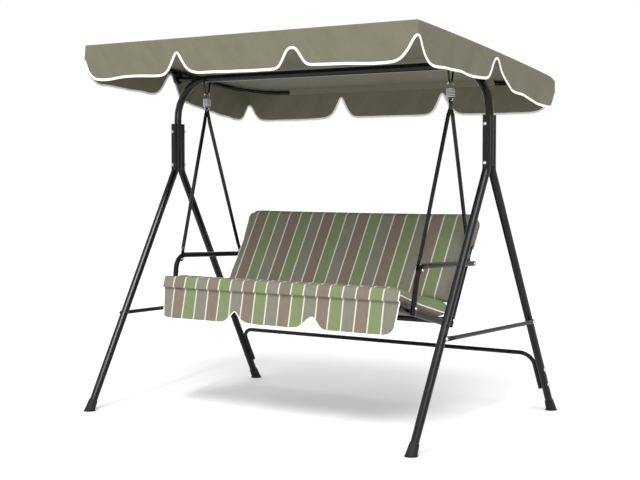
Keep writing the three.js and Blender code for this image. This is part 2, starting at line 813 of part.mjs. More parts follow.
/** An extension spring: a close coil with an open hook at each end, both in the XZ plane. */
function spring(side) {
  const x = side * HANG_X;
  const perTurn = 8;
  const points = [];
  const lowR = 11;
  const lowCentre = EYE_Z + EYE_R - WIRE_R - 1.4 + lowR;
  for (let k = 0; k <= 6; k += 1) {
    const a = (Math.PI * 1.05 * k) / 6;
    points.push(v3(x + lowR * Math.cos(a), 0, lowCentre - lowR * Math.sin(a)));
  }
  for (let k = 0; k <= COIL_TURNS * perTurn; k += 1) {
    const a = Math.PI + (2 * Math.PI * k) / perTurn;
    const z = COIL_FOOT_Z + (COIL_PITCH * k) / perTurn;
    points.push(v3(x + COIL_R * Math.cos(a), COIL_R * Math.sin(a), z));
  }
  const topR = 13;
  const topCentre = LOOP_Z + 4 + WIRE_R + GAP - topR;
  for (let k = 0; k <= 6; k += 1) {
    const a = (Math.PI * 1.05 * k) / 6;
    points.push(v3(x + topR * Math.cos(a), 0, topCentre + topR * Math.sin(a)));
  }
  return tube(points, WIRE_R, 0, 6);
}

// ---------------------------------------------------------------- hanger tubes and armrests
const HANGER_FLAT_X = ARM_X - ARM_R - GAP - PRESSED / 2; // lower ends, inside the armrests
const LOWER_TUBE_X = HANGER_FLAT_X + 3; // the tubes lean in to their flat ends without a step
const FRONT_SET_IN = 0.7; // an armrest already leans in where the front hanger tube meets it
const HANGER_FLAT = 29; // from the bolt to where the tube starts to be round, past the armrest
const EYE_FLAT = 32; // and from the eye, where the two hanger tubes still lie side by side
const EYE_SHIFT = 2; // the flat eyes lie this far either side of the spring's plane

/** A hole across one side of the seat frame, wide enough for a bolt's shank. */
function crossHole(side, at) {
  return bar(
    v3(side * (POST_X - 40), at.y, at.z),
    v3(side * (HANG_X + 20), at.y, at.z),
    BOLT_R + GAP,
  );
}

/** A hanger tube with flattened, bored ends, from the spring's lower hook to its bolt. */
function hangerTube(side, foot, eyeX, footX, lowerX) {
  const upper = {
    at: { y: 0, z: EYE_Z },
    halfWidth: PRESSED_HALF_WIDTH,
    flat: EYE_FLAT,
    flatX: side * eyeX,
    tubeX: side * HANG_X,
  };
  const lower = {
    at: foot,
    halfWidth: PRESSED_HALF_WIDTH,
    flat: HANGER_FLAT,
    flatX: side * footX,
    tubeX: side * lowerX,
  };
  const eye = bar(
    v3(side * (HANG_X - 20), 0, EYE_Z),
    v3(side * (HANG_X + 20), 0, EYE_Z),
    EYE_R,
  );
  return pressedTube([upper, lower], ROD_R)
    .subtract(solid(eye))
    .subtract(solid(crossHole(side, foot)));
}

function armrest(side) {
  const swept = tube(
    bentPath([
      { p: v3(side * ARM_X, ARM_REAR.y, ARM_REAR.z) },
      { p: v3(side * ARM_X, ARM_FRONT.y, ARM_FRONT.z), r: ARM_BEND },
      { p: v3(side * ARM_FOOT_X, ARM_FOOT.y, ARM_FOOT.z) },
    ]),
    ARM_R,
    THIN_WALL,
    12,
  );
  return [FRONT_BOLT, REAR_BOLT, ARM_FOOT_BOLT].reduce(
    (made, at) => made.subtract(solid(crossHole(side, at))),
    solid(swept),
  );
}

const SIDE_BOLT_R = 3.5;
const SIDE_HEAD_R = 6;

/** A cross bolt through the seat's side frame, its dome on the outer side. */
function sideBolt(side, at, outerX, innerX) {
  return bolt(v3(side * outerX, at.y, at.z), v3(side * innerX, at.y, at.z), SIDE_BOLT_R, SIDE_HEAD_R);
}

function addHangers() {
  bothSides((side, label) => {
    add(`spring_${label}`, spring(side), "zinc");
    const frontX = HANGER_FLAT_X - FRONT_SET_IN;
    const front = hangerTube(side, FRONT_BOLT, HANG_X + EYE_SHIFT, frontX, LOWER_TUBE_X);
    const rear = hangerTube(side, REAR_BOLT, HANG_X - EYE_SHIFT, HANGER_FLAT_X, LOWER_TUBE_X);
    add(`hanger_front_${label}`, front, "steel");
    add(`hanger_rear_${label}`, rear, "steel");
    add(`armrest_${label}`, armrest(side), "steel");
    const armFace = ARM_X + ARM_R + GAP;
    const footShare = (ARM_FOOT_BOLT.z - ARM_FOOT.z) / (ARM_FRONT.z - ARM_FOOT.z);
    const footFace = ARM_FOOT_X + (ARM_X - ARM_FOOT_X) * footShare + ARM_R + GAP;
    const flatInside = frontX - PRESSED / 2 - GAP;
    const postInside = POST_X - POST_R - GAP;
    const railInside = SEAT_RAIL_X - SEAT_R - GAP;
    const bolts = {
      arm_bolt_front: [FRONT_BOLT, armFace, flatInside],
      arm_bolt_rear: [REAR_BOLT, armFace, postInside],
      arm_foot_bolt: [ARM_FOOT_BOLT, footFace, railInside],
      back_bolt: [BACK_BOLT, POST_X + POST_R + GAP, postInside - TAB - GAP],
    };
    for (const [name, [at, outerX, innerX]] of Object.entries(bolts)) {
      add(`${name}_${label}`, sideBolt(side, at, outerX, innerX), "zinc");
    }
  });
}

// ---------------------------------------------------------------- seat and back frame
/** Where the back post's axis passes a height. */
function postY(z) {
  return POST_FOOT.y + (z - POST_FOOT.z) * BACK_LEAN;
}

/** A side rail, a flattened tab on its rear end lying inside the back post. */
function seatSideRail(side) {
  const x = side * SEAT_RAIL_X;
  const ends = [SIDE_RAIL_FRONT, SIDE_RAIL_REAR].map(({ y, z }) => v3(x, y, z));
  const rail = tube(ends, SEAT_R, THIN_WALL, 14);
  const tabX = side * (POST_X - POST_R - GAP - TAB / 2);
  const tabFoot = ends[1].clone().lerp(ends[0], TAB_OVERLAP / ends[0].distanceTo(ends[1]));
  const tab = blade(tabFoot, v3(0, BACK_BOLT.y, BACK_BOLT.z), TAB_WIDTH, tabX, TAB);
  return joined(rail, tab)
    .subtract(solid(crossHole(side, ARM_FOOT_BOLT)))
    .subtract(solid(crossHole(side, BACK_BOLT)));
}

function seatCrossRail(at, reach) {
  return tube([v3(-reach, at.y, at.z), v3(reach, at.y, at.z)], SEAT_R, THIN_WALL, 14);
}

const TOP_RAIL_X = 484;

function backPost(side) {
  const x = side * POST_X;
  const swept = tube(
    bentPath([
      { p: v3(x, POST_FOOT.y, POST_FOOT.z) },
      { p: v3(x, postY(BACK_TOP_Z), BACK_TOP_Z), r: 62 },
      { p: v3(side * (TOP_RAIL_X + GAP), postY(BACK_TOP_Z), BACK_TOP_Z) },
    ]),
    POST_R,
    THIN_WALL,
    12,
  );
  return solid(swept)
    .subtract(solid(crossHole(side, REAR_BOLT)))
    .subtract(solid(crossHole(side, BACK_BOLT)));
}

function backTopRail() {
  const y = postY(BACK_TOP_Z);
  return tube([v3(-TOP_RAIL_X, y, BACK_TOP_Z), v3(TOP_RAIL_X, y, BACK_TOP_Z)], POST_R, THIN_WALL, 12);
}

function addSeatFrame() {
  const between = SEAT_RAIL_X - SEAT_R - GAP;
  bothSides((side, label) => {
    add(`seat_side_rail_${label}`, seatSideRail(side), "steel");
    add(`back_post_${label}`, backPost(side), "steel");
  });
  add("seat_front_rail", seatCrossRail(FRONT_RAIL, between), "steel");
  add("seat_rear_rail", seatCrossRail(REAR_RAIL, between), "steel");
  add("back_top_rail", backTopRail(), "steel");
}

// ---------------------------------------------------------------- slings
const SLING = 2;
const SLING_GAP = 1.2;
const SEAT_SLING_X = 545;
const BACK_SLING_X = 470;

/** A sheet of constant width swept along a curve in the YZ plane. */
function sheet(points, halfWidth, thickness) {
  const section = new THREE.Shape([
    new THREE.Vector2(-halfWidth, -thickness / 2),
    new THREE.Vector2(halfWidth, -thickness / 2),
    new THREE.Vector2(halfWidth, thickness / 2),
    new THREE.Vector2(-halfWidth, thickness / 2),
  ]);
  return sweep(points.map(([y, z]) => v3(0, y, z)), section);
}

/** Points round a rail, from one angle to another, measured from +Y towards +Z. */
function wrap(centre, radius, from, to, steps) {
  return Array.from({ length: steps + 1 }, (_, k) => {
    const a = from + ((to - from) * k) / steps;
    return [centre.y + radius * Math.cos(a), centre.z + radius * Math.sin(a)];
  });
}

/** The seat sling: a sleeve on the front rail, a sagging seat, a sleeve on the rear rail. */
function seatSling() {
  const radius = SEAT_R + SLING_GAP + SLING / 2;
  const sag = [
    [-200, 472],
    [-90, 441],
    [10, 421.5],
  ];
  return sheet(
    [
      ...wrap(FRONT_RAIL, radius, -0.9 * Math.PI + 2 * Math.PI, 0.42 * Math.PI, 8),
      ...sag,
      ...wrap(REAR_RAIL, radius, 0.54 * Math.PI, -0.25 * Math.PI, 5),
    ],
    SEAT_SLING_X,
    SLING,
  );
}

/** The back sling: from behind the rear rail up the front of the posts and over the top rail. */
function backSling() {
  const lean = Math.atan(BACK_LEAN);
  const top = { y: postY(BACK_TOP_Z), z: BACK_TOP_Z };
  const radius = POST_R + SLING_GAP + SLING / 2;
  const foot = { y: postY(440), z: 440 };
  const ahead = (at, distance) => [
    at.y - distance * Math.cos(lean),
    at.z + distance * Math.sin(lean),
  ];
  return sheet(
    [
      ahead(foot, radius),
      ahead({ y: postY(620), z: 620 }, radius - 3),
      ...wrap(top, radius, Math.PI - lean, -0.35 * Math.PI, 7),
    ],
    BACK_SLING_X,
    SLING,
  );
}

// ---------------------------------------------------------------- cushions and flap
/** A profile in the YZ plane drawn out along X. */
function acrossX(outline, halfWidth) {
  const shape = new THREE.Shape(outline.map(([y, z]) => new THREE.Vector2(y, z)));
  const geometry = new THREE.ExtrudeGeometry(shape, { depth: 2 * halfWidth, bevelEnabled: false });
  geometry.rotateX(Math.PI / 2).rotateZ(Math.PI / 2);
  return geometry.translate(-halfWidth, 0, 0);
}

/** The seat cushion, thick in front, lying on the sagging sling. */
function seatCushion() {
  return acrossX(
    [
      [-316, 516],
      [-316, 548],
      [-309, 558],
      [-296, 561],
      [-140, 524],
      [20, 488],
      [56, 478],
      [69, 464],
      [66, 440],
      [40, 431],
      [8, 431],
      [-90, 453],
      [-257, 500.5],
    ],
    CUSHION_X,
  );
}

const HOOD_Z = 690; // the hood's hem, behind and at the sides
const HOOD_X = 591;
const BACK_PAD_X = 582;

/** A point beside the back posts: height on the axis, and distance in front of it. */
function besidePost(z, ahead) {
  const lean = Math.atan(BACK_LEAN);
  return [postY(z) - ahead * Math.cos(lean), z + ahead * Math.sin(lean)];
}

/** The back cushion: a pad in front of the posts and a hood over the top rail and post tops. */
function backCushion() {
  const pad = acrossX(
    [
      besidePost(466, 17),
      besidePost(454, 34),
      besidePost(458, 49),
      besidePost(476, 55),
      besidePost(780, 40),
      besidePost(806, 30),
      besidePost(806, 17),
    ],
    BACK_PAD_X,
  );
  const hoodOuter = acrossX(
    [
      besidePost(HOOD_Z, 40),
      besidePost(792, 40),
      besidePost(814, 30),
      besidePost(821, 10),
      besidePost(821, -12),
      besidePost(808, -22),
      besidePost(HOOD_Z, -20),
    ],
    HOOD_X,
  );
  const hollow = acrossX(
    [
      besidePost(HOOD_Z - 40, 15.5),
      besidePost(806, 15.5),
      besidePost(815, 8),
      besidePost(815, -8),
      besidePost(806, -15.5),
      besidePost(HOOD_Z - 40, -15.5),
    ],
    HOOD_X - 4,
  );
  return joined(pad, hoodOuter).subtract(solid(hollow));
}

const FLAP = 4;
const FLAP_DROP = 176; // length of the flap from its top to its hem
const FLAP_NOTCH_Z = 45; // rise of the notches between its scallops, above the hem
const FLAP_SIDE_Z = 51; // rise of its hem at either side
const FLAP_NOTCH_HALF = 62;
const FLAP_HEM = { y: -341, z: 385 };
const FLAP_TILT = 0.135; // the hem hangs this far in front of upright, in radians

/** The front flap: a flat band over a lower edge cut in three scallops. */
function frontFlap() {
  const third = FLAP_X / 3;
  const outline = [new THREE.Vector2(FLAP_X, FLAP_DROP), new THREE.Vector2(-FLAP_X, FLAP_DROP)];
  const scallop = (from, to, fromZ, toZ) => {
    for (let k = 0; k <= 12; k += 1) {
      const t = (1 - Math.cos((Math.PI * k) / 12)) / 2;
      const at = from + (to - from) * t;
      const fromEnd = Math.min(at - from, to - at) / FLAP_NOTCH_HALF;
      const open = THREE.MathUtils.clamp(fromEnd, 0, 1);
      const ease = Math.sin((Math.PI / 2) * open) ** 0.9;
      const height = (k < 6 ? fromZ : toZ) * (1 - ease);
      outline.push(new THREE.Vector2(at, height));
    }
  };
  scallop(-FLAP_X, -third, FLAP_SIDE_Z, FLAP_NOTCH_Z);
  scallop(-third, third, FLAP_NOTCH_Z, FLAP_NOTCH_Z);
  scallop(third, FLAP_X, FLAP_NOTCH_Z, FLAP_SIDE_Z);
  const geometry = new THREE.ExtrudeGeometry(new THREE.Shape(outline), {
    depth: FLAP,
    bevelEnabled: false,
  });
  geometry.rotateX(Math.PI / 2 - FLAP_TILT);
  return geometry.translate(0, FLAP_HEM.y, FLAP_HEM.z);
}

function addSoftGoods() {
  add("seat_sling", seatSling(), "sling");
  add("back_sling", backSling(), "sling");
  add("seat_cushion", seatCushion(), "stripes");
  add("back_cushion", backCushion(), "stripes");
  add("front_flap", frontFlap(), "stripes");
}

addLegs();
addBeam();
addBraces();
addCanopy();
addHangers();
addSeatFrame();
addSoftGoods();

export default root;
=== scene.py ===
"""Looks of the canopy swing bench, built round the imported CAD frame, in metres."""

import json
import math

import bmesh
import bpy
import numpy as np
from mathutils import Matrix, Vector
from mathutils.bvhtree import BVHTree


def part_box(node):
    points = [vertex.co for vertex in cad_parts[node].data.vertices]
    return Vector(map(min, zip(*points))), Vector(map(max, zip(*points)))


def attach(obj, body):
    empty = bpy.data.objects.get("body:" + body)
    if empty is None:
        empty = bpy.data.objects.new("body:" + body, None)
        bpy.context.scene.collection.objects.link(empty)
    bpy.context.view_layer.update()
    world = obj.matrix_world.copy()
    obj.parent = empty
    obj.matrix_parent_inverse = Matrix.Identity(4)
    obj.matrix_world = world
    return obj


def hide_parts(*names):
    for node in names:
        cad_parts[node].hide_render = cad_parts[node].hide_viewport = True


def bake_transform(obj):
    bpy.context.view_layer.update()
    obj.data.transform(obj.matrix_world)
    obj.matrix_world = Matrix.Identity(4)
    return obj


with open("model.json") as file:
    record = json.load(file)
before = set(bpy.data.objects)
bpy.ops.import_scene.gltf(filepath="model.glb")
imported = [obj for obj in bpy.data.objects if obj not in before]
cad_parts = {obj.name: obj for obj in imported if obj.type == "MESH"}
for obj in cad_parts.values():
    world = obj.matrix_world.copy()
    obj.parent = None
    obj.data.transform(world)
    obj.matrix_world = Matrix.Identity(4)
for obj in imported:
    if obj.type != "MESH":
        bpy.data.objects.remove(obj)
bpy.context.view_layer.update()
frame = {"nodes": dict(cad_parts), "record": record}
NODES = frame["nodes"]
SIDES = ("left", "right")
SIGN = {"left": -1, "right": 1}


# ---------------------------------------------------------------- places read from the frame
def centre(node):
    """The middle of a node's box at rest."""
    low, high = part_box(node)
    return (low + high) / 2


COVER_LOW, COVER_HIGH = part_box("canopy_cover")
FRONT_RAIL = centre("canopy_front_rail")
REAR_RAIL = centre("canopy_rear_rail")
RAIL_DROP = COVER_HIGH.z - FRONT_RAIL.z  # from the cover's top down to a rail's axis
ROOF_ARCH = 0.007
SEAT_FRONT = centre("seat_front_rail")
SEAT_REAR = centre("seat_rear_rail")
TOP_RAIL = centre("back_top_rail")
BACK_FOOT = centre("back_bolt_left")
POST_DIRECTION = Vector((0, TOP_RAIL.y - BACK_FOOT.y, TOP_RAIL.z - BACK_FOOT.z)).normalized()
POST_AHEAD = Vector((0, -POST_DIRECTION.z, POST_DIRECTION.y))


# ---------------------------------------------------------------- small tools
def linear(red, green, blue):
    """A display colour from 0 to 255 as linear light."""
    def one(value):
        value /= 255
        return value / 12.92 if value <= 0.04045 else ((value + 0.055) / 1.055) ** 2.4
    return (one(red), one(green), one(blue), 1)


def smoothstep(value):
    """From 0 to 1, level at both ends."""
    value = min(max(value, 0.0), 1.0)
    return value * value * (3 - 2 * value)


def eased(place, stops):
    """A value that passes through (place, value) stops and eases from one to the next."""
    if place <= stops[0][0]:
        return stops[0][1]
    for (a, low), (b, high) in zip(stops, stops[1:]):
        if place <= b:
            return low + (high - low) * smoothstep((place - a) / (b - a))
    return stops[-1][1]


def make_object(name, points, faces, uv=None):
    """A smooth mesh piece; uv gives one pair for each corner of each face, in order."""
    mesh = bpy.data.meshes.new(name)
    mesh.from_pydata([tuple(p) for p in points], [], faces)
    mesh.polygons.foreach_set("use_smooth", [True] * len(mesh.polygons))
    if uv is not None:
        layer = mesh.uv_layers.new(name="UVMap")
        layer.data.foreach_set("uv", np.array(uv, np.float32).ravel())
    mesh.update()
    piece = bpy.data.objects.new(name, mesh)
    bpy.context.scene.collection.objects.link(piece)
    return piece


def grid_piece(name, rows, uv_rows):
    """A sheet through rows of points, with uv in metres."""
    count = len(rows[0])
    points = [p for row in rows for p in row]
    flat_uv = [p for row in uv_rows for p in row]
    faces = [
        (r * count + c, r * count + c + 1, (r + 1) * count + c + 1, (r + 1) * count + c)
        for r in range(len(rows) - 1)
        for c in range(count - 1)
    ]
    uv = [flat_uv[v] for face in faces for v in face]
    return make_object(name, points, faces, uv)


CORD_SIDES = 8


def roll(name, path, across, half_width, half_height, closed=False):
    """A cord of oval section along a path; across gives the section's wide direction at each point."""
    count, sides = len(path), CORD_SIDES
    rings = []
    for i, point in enumerate(path):
        before = path[(i - 1) % count] if closed or i else path[0]
        after = path[(i + 1) % count] if closed or i < count - 1 else path[-1]
        along = (after - before).normalized()
        wide = (across[i] - along * across[i].dot(along)).normalized()
        thin = along.cross(wide)
        for k in range(sides):
            a = 2 * math.pi * k / sides
            rings.append(point + wide * (half_width * math.cos(a)) + thin * (half_height * math.sin(a)))
    spans = count if closed else count - 1
    faces = []
    for i in range(spans):
        here, there = i * sides, ((i + 1) % count) * sides
        for k in range(sides):
            n = (k + 1) % sides
            faces.append((here + k, here + n, there + n, there + k))
    if not closed:
        faces.append(tuple(reversed(range(sides))))
        faces.append(tuple(range((count - 1) * sides, count * sides)))
    return make_object(name, rings, faces)


def thicken(piece, thickness):
    """Gives a sheet its thickness, half to either side."""
    shell = piece.modifiers.new("Cloth thickness", "SOLIDIFY")
    shell.thickness = thickness
    shell.offset = 0


def soften(piece):
    """One level of subdivision."""
    smooth = piece.modifiers.new("Smooth cloth", "SUBSURF")
    smooth.levels = 1
    smooth.render_levels = 1


def dress(piece, material, body):
    """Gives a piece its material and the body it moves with."""
    piece.data.materials.clear()
    piece.data.materials.append(material)
    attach(piece, body)
    return piece


# ---------------------------------------------------------------- materials
class Shader:
    """A Principled material and short ways to add nodes to it."""

    def __init__(self, name, colour, roughness, metallic=0.0):
        self.material = bpy.data.materials.new(name)
        self.material.use_nodes = True
        self.tree = self.material.node_tree
        self.main = self.tree.nodes["Principled BSDF"]
        self.main.inputs["Base Color"].default_value = colour
        self.main.inputs["Roughness"].default_value = roughness
        self.main.inputs["Metallic"].default_value = metallic
        self.place = self.add("ShaderNodeTexCoord").outputs["Object"]

    def add(self, kind, **values):
        node = self.tree.nodes.new(kind)
        for key, value in values.items():
            setattr(node, key, value)
        return node

    def link(self, source, target):
        self.tree.links.new(source, target)

    def math(self, operation, first, second=None):
        node = self.add("ShaderNodeMath", operation=operation)
        for socket, value in zip(node.inputs, (first, second)):
            if value is None:
                continue
            if isinstance(value, (int, float)):
                socket.default_value = value
            else:
                self.link(value, socket)
        return node.outputs[0]

    def noise(self, scale, detail=2.0, place=None):
        node = self.add("ShaderNodeTexNoise")
        node.inputs["Scale"].default_value = scale
        node.inputs["Detail"].default_value = detail
        self.link(place or self.place, node.inputs["Vector"])
        return node.outputs["Fac"]

    def mix(self, amount, first, second, blend="MIX"):
        node = self.add("ShaderNodeMix", data_type="RGBA", blend_type=blend)
        for socket, value in zip((node.inputs[0], node.inputs[6], node.inputs[7]), (amount, first, second)):
            if isinstance(value, (int, float, tuple)):
                socket.default_value = value
            else:
                self.link(value, socket)
        return node.outputs[2]

    def bump(self, height, strength, distance, under=None):
        node = self.add("ShaderNodeBump")
        node.inputs["Strength"].default_value = strength
        node.inputs["Distance"].default_value = distance
        self.link(height, node.inputs["Height"])
        if under is not None:
            self.link(under, node.inputs["Normal"])
        return node.outputs["Normal"]

    def spread(self, value, low, high):
        """A value from 0 to 1 spread from low to high."""
        return self.math("ADD", self.math("MULTIPLY", value, high - low), low)


def powder_coat():
    """Black paint on steel, slightly uneven, with a little dust."""
    s = Shader("Powder coat", linear(10, 10, 11), 0.26)
    dust = s.mix(s.spread(s.noise(7, 3), 0.0, 0.05), linear(9, 9, 10), linear(58, 56, 53))
    s.link(dust, s.main.inputs["Base Color"])
    s.link(s.spread(s.noise(30, 4), 0.16, 0.26), s.main.inputs["Roughness"])
    s.link(s.bump(s.noise(900, 2), 0.12, 0.0004), s.main.inputs["Normal"])
    s.main.inputs["Specular IOR Level"].default_value = 0.24
    return s.material


def zinc():
    """Bright plating with a fine mottle."""
    s = Shader("Zinc plate", linear(196, 197, 200), 0.34, 1.0)
    s.link(s.mix(s.noise(220, 3), linear(170, 171, 173), linear(214, 214, 216)), s.main.inputs["Base Color"])
    s.link(s.spread(s.noise(400, 2), 0.26, 0.5), s.main.inputs["Roughness"])
    return s.material


def moulded_plastic():
    """Black plastic with a fine grain."""
    s = Shader("Moulded plastic", linear(22, 22, 23), 0.6)
    s.link(s.mix(s.noise(12, 3), linear(18, 18, 19), linear(31, 31, 32)), s.main.inputs["Base Color"])
    s.main.inputs["Specular IOR Level"].default_value = 0.2
    s.link(s.spread(s.noise(60, 3), 0.5, 0.72), s.main.inputs["Roughness"])
    s.link(s.bump(s.noise(1400, 2), 0.2, 0.0003), s.main.inputs["Normal"])
    return s.material


THREAD = 0.0016  # the weave's repeat


def weave_height(s, across, along):
    """The height of a plain weave from two coordinates in metres."""
    turns = 2 * math.pi / THREAD
    first = s.math("SINE", s.math("MULTIPLY", across, turns))
    second = s.math("SINE", s.math("MULTIPLY", along, turns))
    return s.math("MULTIPLY", first, second)


def split(s, vector):
    """A vector's three coordinates."""
    node = s.add("ShaderNodeSeparateXYZ")
    s.link(vector, node.inputs[0])
    return node.outputs


def finish_cloth(s, colour, across, along, under=None):
    """Adds a fabric's weave, unevenness and soft sheen to a colour."""
    tone = s.spread(s.noise(22, 3), 0.93, 1.05)
    grain = s.spread(weave_height(s, across, along), -0.035, 0.035)
    shade = s.math("ADD", tone, grain)
    tint = s.add("ShaderNodeCombineColor")
    for socket in tint.inputs[:3]:
        s.link(shade, socket)
    s.link(s.mix(1.0, colour, tint.outputs[0], "MULTIPLY"), s.main.inputs["Base Color"])
    ripple = s.bump(s.noise(14, 2), 0.25, 0.006, under)
    weave = s.bump(weave_height(s, across, along), 0.35, 0.0003, ripple)
    s.link(weave, s.main.inputs["Normal"])
    s.main.inputs["Specular IOR Level"].default_value = 0.2
    s.main.inputs["Sheen Weight"].default_value = 0.05
    s.main.inputs["Sheen Roughness"].default_value = 0.5
    return s.material


def plain_cloth(name, colour, uses_uv=True, creases=0.0):
    """One colour of cloth; creases is the depth of its long slanting creases, in metres."""
    s = Shader(name, colour, 0.86)
    if uses_uv:
        u, v, _ = split(s, s.add("ShaderNodeTexCoord").outputs["UV"])
    else:
        u, y, z = split(s, s.place)
        v = s.math("ADD", y, z)
    under = None
    if creases:
        slant = s.add("ShaderNodeCombineXYZ")
        s.link(s.math("MULTIPLY", s.math("ADD", u, s.math("MULTIPLY", v, 0.7)), 7), slant.inputs[0])
        s.link(s.math("MULTIPLY", v, 3.5), slant.inputs[1])
        under = s.bump(s.noise(1, 2, slant.outputs[0]), 1.0, creases)
    return finish_cloth(s, colour, u, v, under=under)


STRIPE = 0.0613  # from one pale line to the next on the seat and the flap
BACK_STRIPE = 0.0607  # and on the back cushion
FIRST_LINE = -0.527  # x of the first pale line
LAST_STRIPE = 17  # the stripes run on at either end in the colour of the last one
LINE = 0.0062  # width of a pale line
SAGE = linear(113, 112, 100)
TAUPE = linear(113, 102, 90)
GREEN = linear(108, 121, 86)
CREAM = linear(190, 188, 178)
CANOPY = linear(101, 99, 83)
WHITE = linear(226, 226, 223)


def streaks(s, scale, stretch=0.035):
    """A noise drawn out along the cloth's length, as slubs in its threads are."""
    mapping = s.add("ShaderNodeMapping")
    mapping.inputs["Scale"].default_value = (1, stretch, stretch)
    s.link(s.place, mapping.inputs["Vector"])
    return s.noise(scale, 2, mapping.outputs["Vector"])


def striped_cloth(name, pitch, first_line=FIRST_LINE, last_stripe=LAST_STRIPE):
    """Sage, taupe and green stripes in turn across X, a pale line between them."""
    s = Shader(name, SAGE, 0.88)
    x, y, z = split(s, s.place)
    wobble = s.spread(s.noise(9, 1), -0.0006, 0.0006)
    turn = s.math("DIVIDE", s.math("SUBTRACT", s.math("ADD", x, wobble), first_line), pitch)
    turn = s.math("MAXIMUM", s.math("MINIMUM", turn, last_stripe + 0.49), -0.49)
    index = s.math("MODULO", s.math("ADD", s.math("FLOOR", turn), 1), 3)
    part = s.math("FRACT", turn)
    edge = s.math("MINIMUM", part, s.math("SUBTRACT", 1, part))
    colour = s.mix(s.math("GREATER_THAN", index, 0.5), SAGE, TAUPE)
    colour = s.mix(s.math("GREATER_THAN", index, 1.5), colour, GREEN)
    slubs = s.spread(streaks(s, 520), 0.8, 1.2)
    tint = s.add("ShaderNodeCombineColor")
    for socket in tint.inputs[:3]:
        s.link(slubs, socket)
    colour = s.mix(1.0, colour, tint.outputs[0], "MULTIPLY")
    colour = s.mix(s.math("LESS_THAN", edge, LINE / pitch / 2), colour, CREAM)
    return finish_cloth(s, colour, x, s.math("ADD", y, z))


def piping_cloth():
    """White tape for piping and bindings."""
    s = Shader("Piping", WHITE, 0.8)
    s.link(s.mix(s.noise(160, 2), linear(212, 211, 206), linear(236, 236, 233)), s.main.inputs["Base Color"])
    s.link(s.bump(s.noise(900, 2), 0.3, 0.0004), s.main.inputs["Normal"])
    return s.material


STEEL = powder_coat()
ZINC = zinc()
PLASTIC = moulded_plastic()
CANOPY_CLOTH = plain_cloth("Canopy cloth", CANOPY, creases=0.024)
SLING_CLOTH = plain_cloth("Sling cloth", linear(104, 102, 88))
STRIPES = striped_cloth("Striped cloth", STRIPE)
SEAT_STRIPES = striped_cloth("Seat cushion cloth", STRIPE, FIRST_LINE - 2 * STRIPE, LAST_STRIPE + 2)
BACK_STRIPES = striped_cloth("Back cushion cloth", BACK_STRIPE)
BOXING = plain_cloth("Boxing cloth", TAUPE, uses_uv=False)
PIPING = piping_cloth()


# ---------------------------------------------------------------- the CAD's metal and plastic
def finish_cad_nodes():
    """Gives each hard CAD node its material, and smooth shading that keeps its real edges."""
    finishes = {"steel": STEEL, "zinc": ZINC, "plastic": PLASTIC}
    slots = {row["node"]: row["material_slot"] for row in frame["record"]["subparts"]}
    for name, node in NODES.items():
        material = finishes.get(slots[name])
        if material is None:
            continue
        node.data.materials.clear()
        node.data.materials.append(material)
        node.data.polygons.foreach_set("use_smooth", [True] * len(node.data.polygons))
        node.data.set_sharp_from_angle(angle=math.radians(38))


# ---------------------------------------------------------------- canopy
VALANCE = 0.142
CORNER_TOP = 0.0555  # how far below the roof's edge the four corner notches reach
ROOF_LIP = 0.007  # the roof's cloth turns down over this much
ROOF_SAG = 0.006  # the cloth sinks this far between its rails
CORNER_GIVE = 0.009  # and this far at its rear corners
CORNER_REACH = 0.028
BAND_ROWS = 9
BINDING_HALF_WIDTH = 0.0058
BINDING_HALF_HEIGHT = 0.0024


def roof_z(y):
    """The roof's height from front to rear, straight between its rails but for a slight arch."""
    rear_top = REAR_RAIL.z + RAIL_DROP
    share = (y - FRONT_RAIL.y) / (REAR_RAIL.y - FRONT_RAIL.y)
    straight = COVER_HIGH.z + (rear_top - COVER_HIGH.z) * share
    return straight + ROOF_ARCH * 4 * share * (1 - share)


class Notch:
    """A cut in a hem: its place, how far its tip is below the top edge, and the two flanks, each as
    the reach over which most of the drop happens and its shape, from 1, pointed, to 3, a bell."""

    def __init__(self, at, top, before, after):
        self.at, self.top = at, top
        self.before, self.after = before, after

    def rise(self, at):
        """How much of the cloth the notch takes away at a place, from 0 to 1."""
        distance = at - self.at
        reach, shape = self.after if distance > 0 else self.before
        return math.exp(-((abs(distance) / reach) ** shape))


def hem_depth(at, full, notches):
    """How far below the roof's edge the hem runs."""
    depth = eased(at, full)
    return depth - max(n.rise(at) * (depth - n.top) for n in notches)


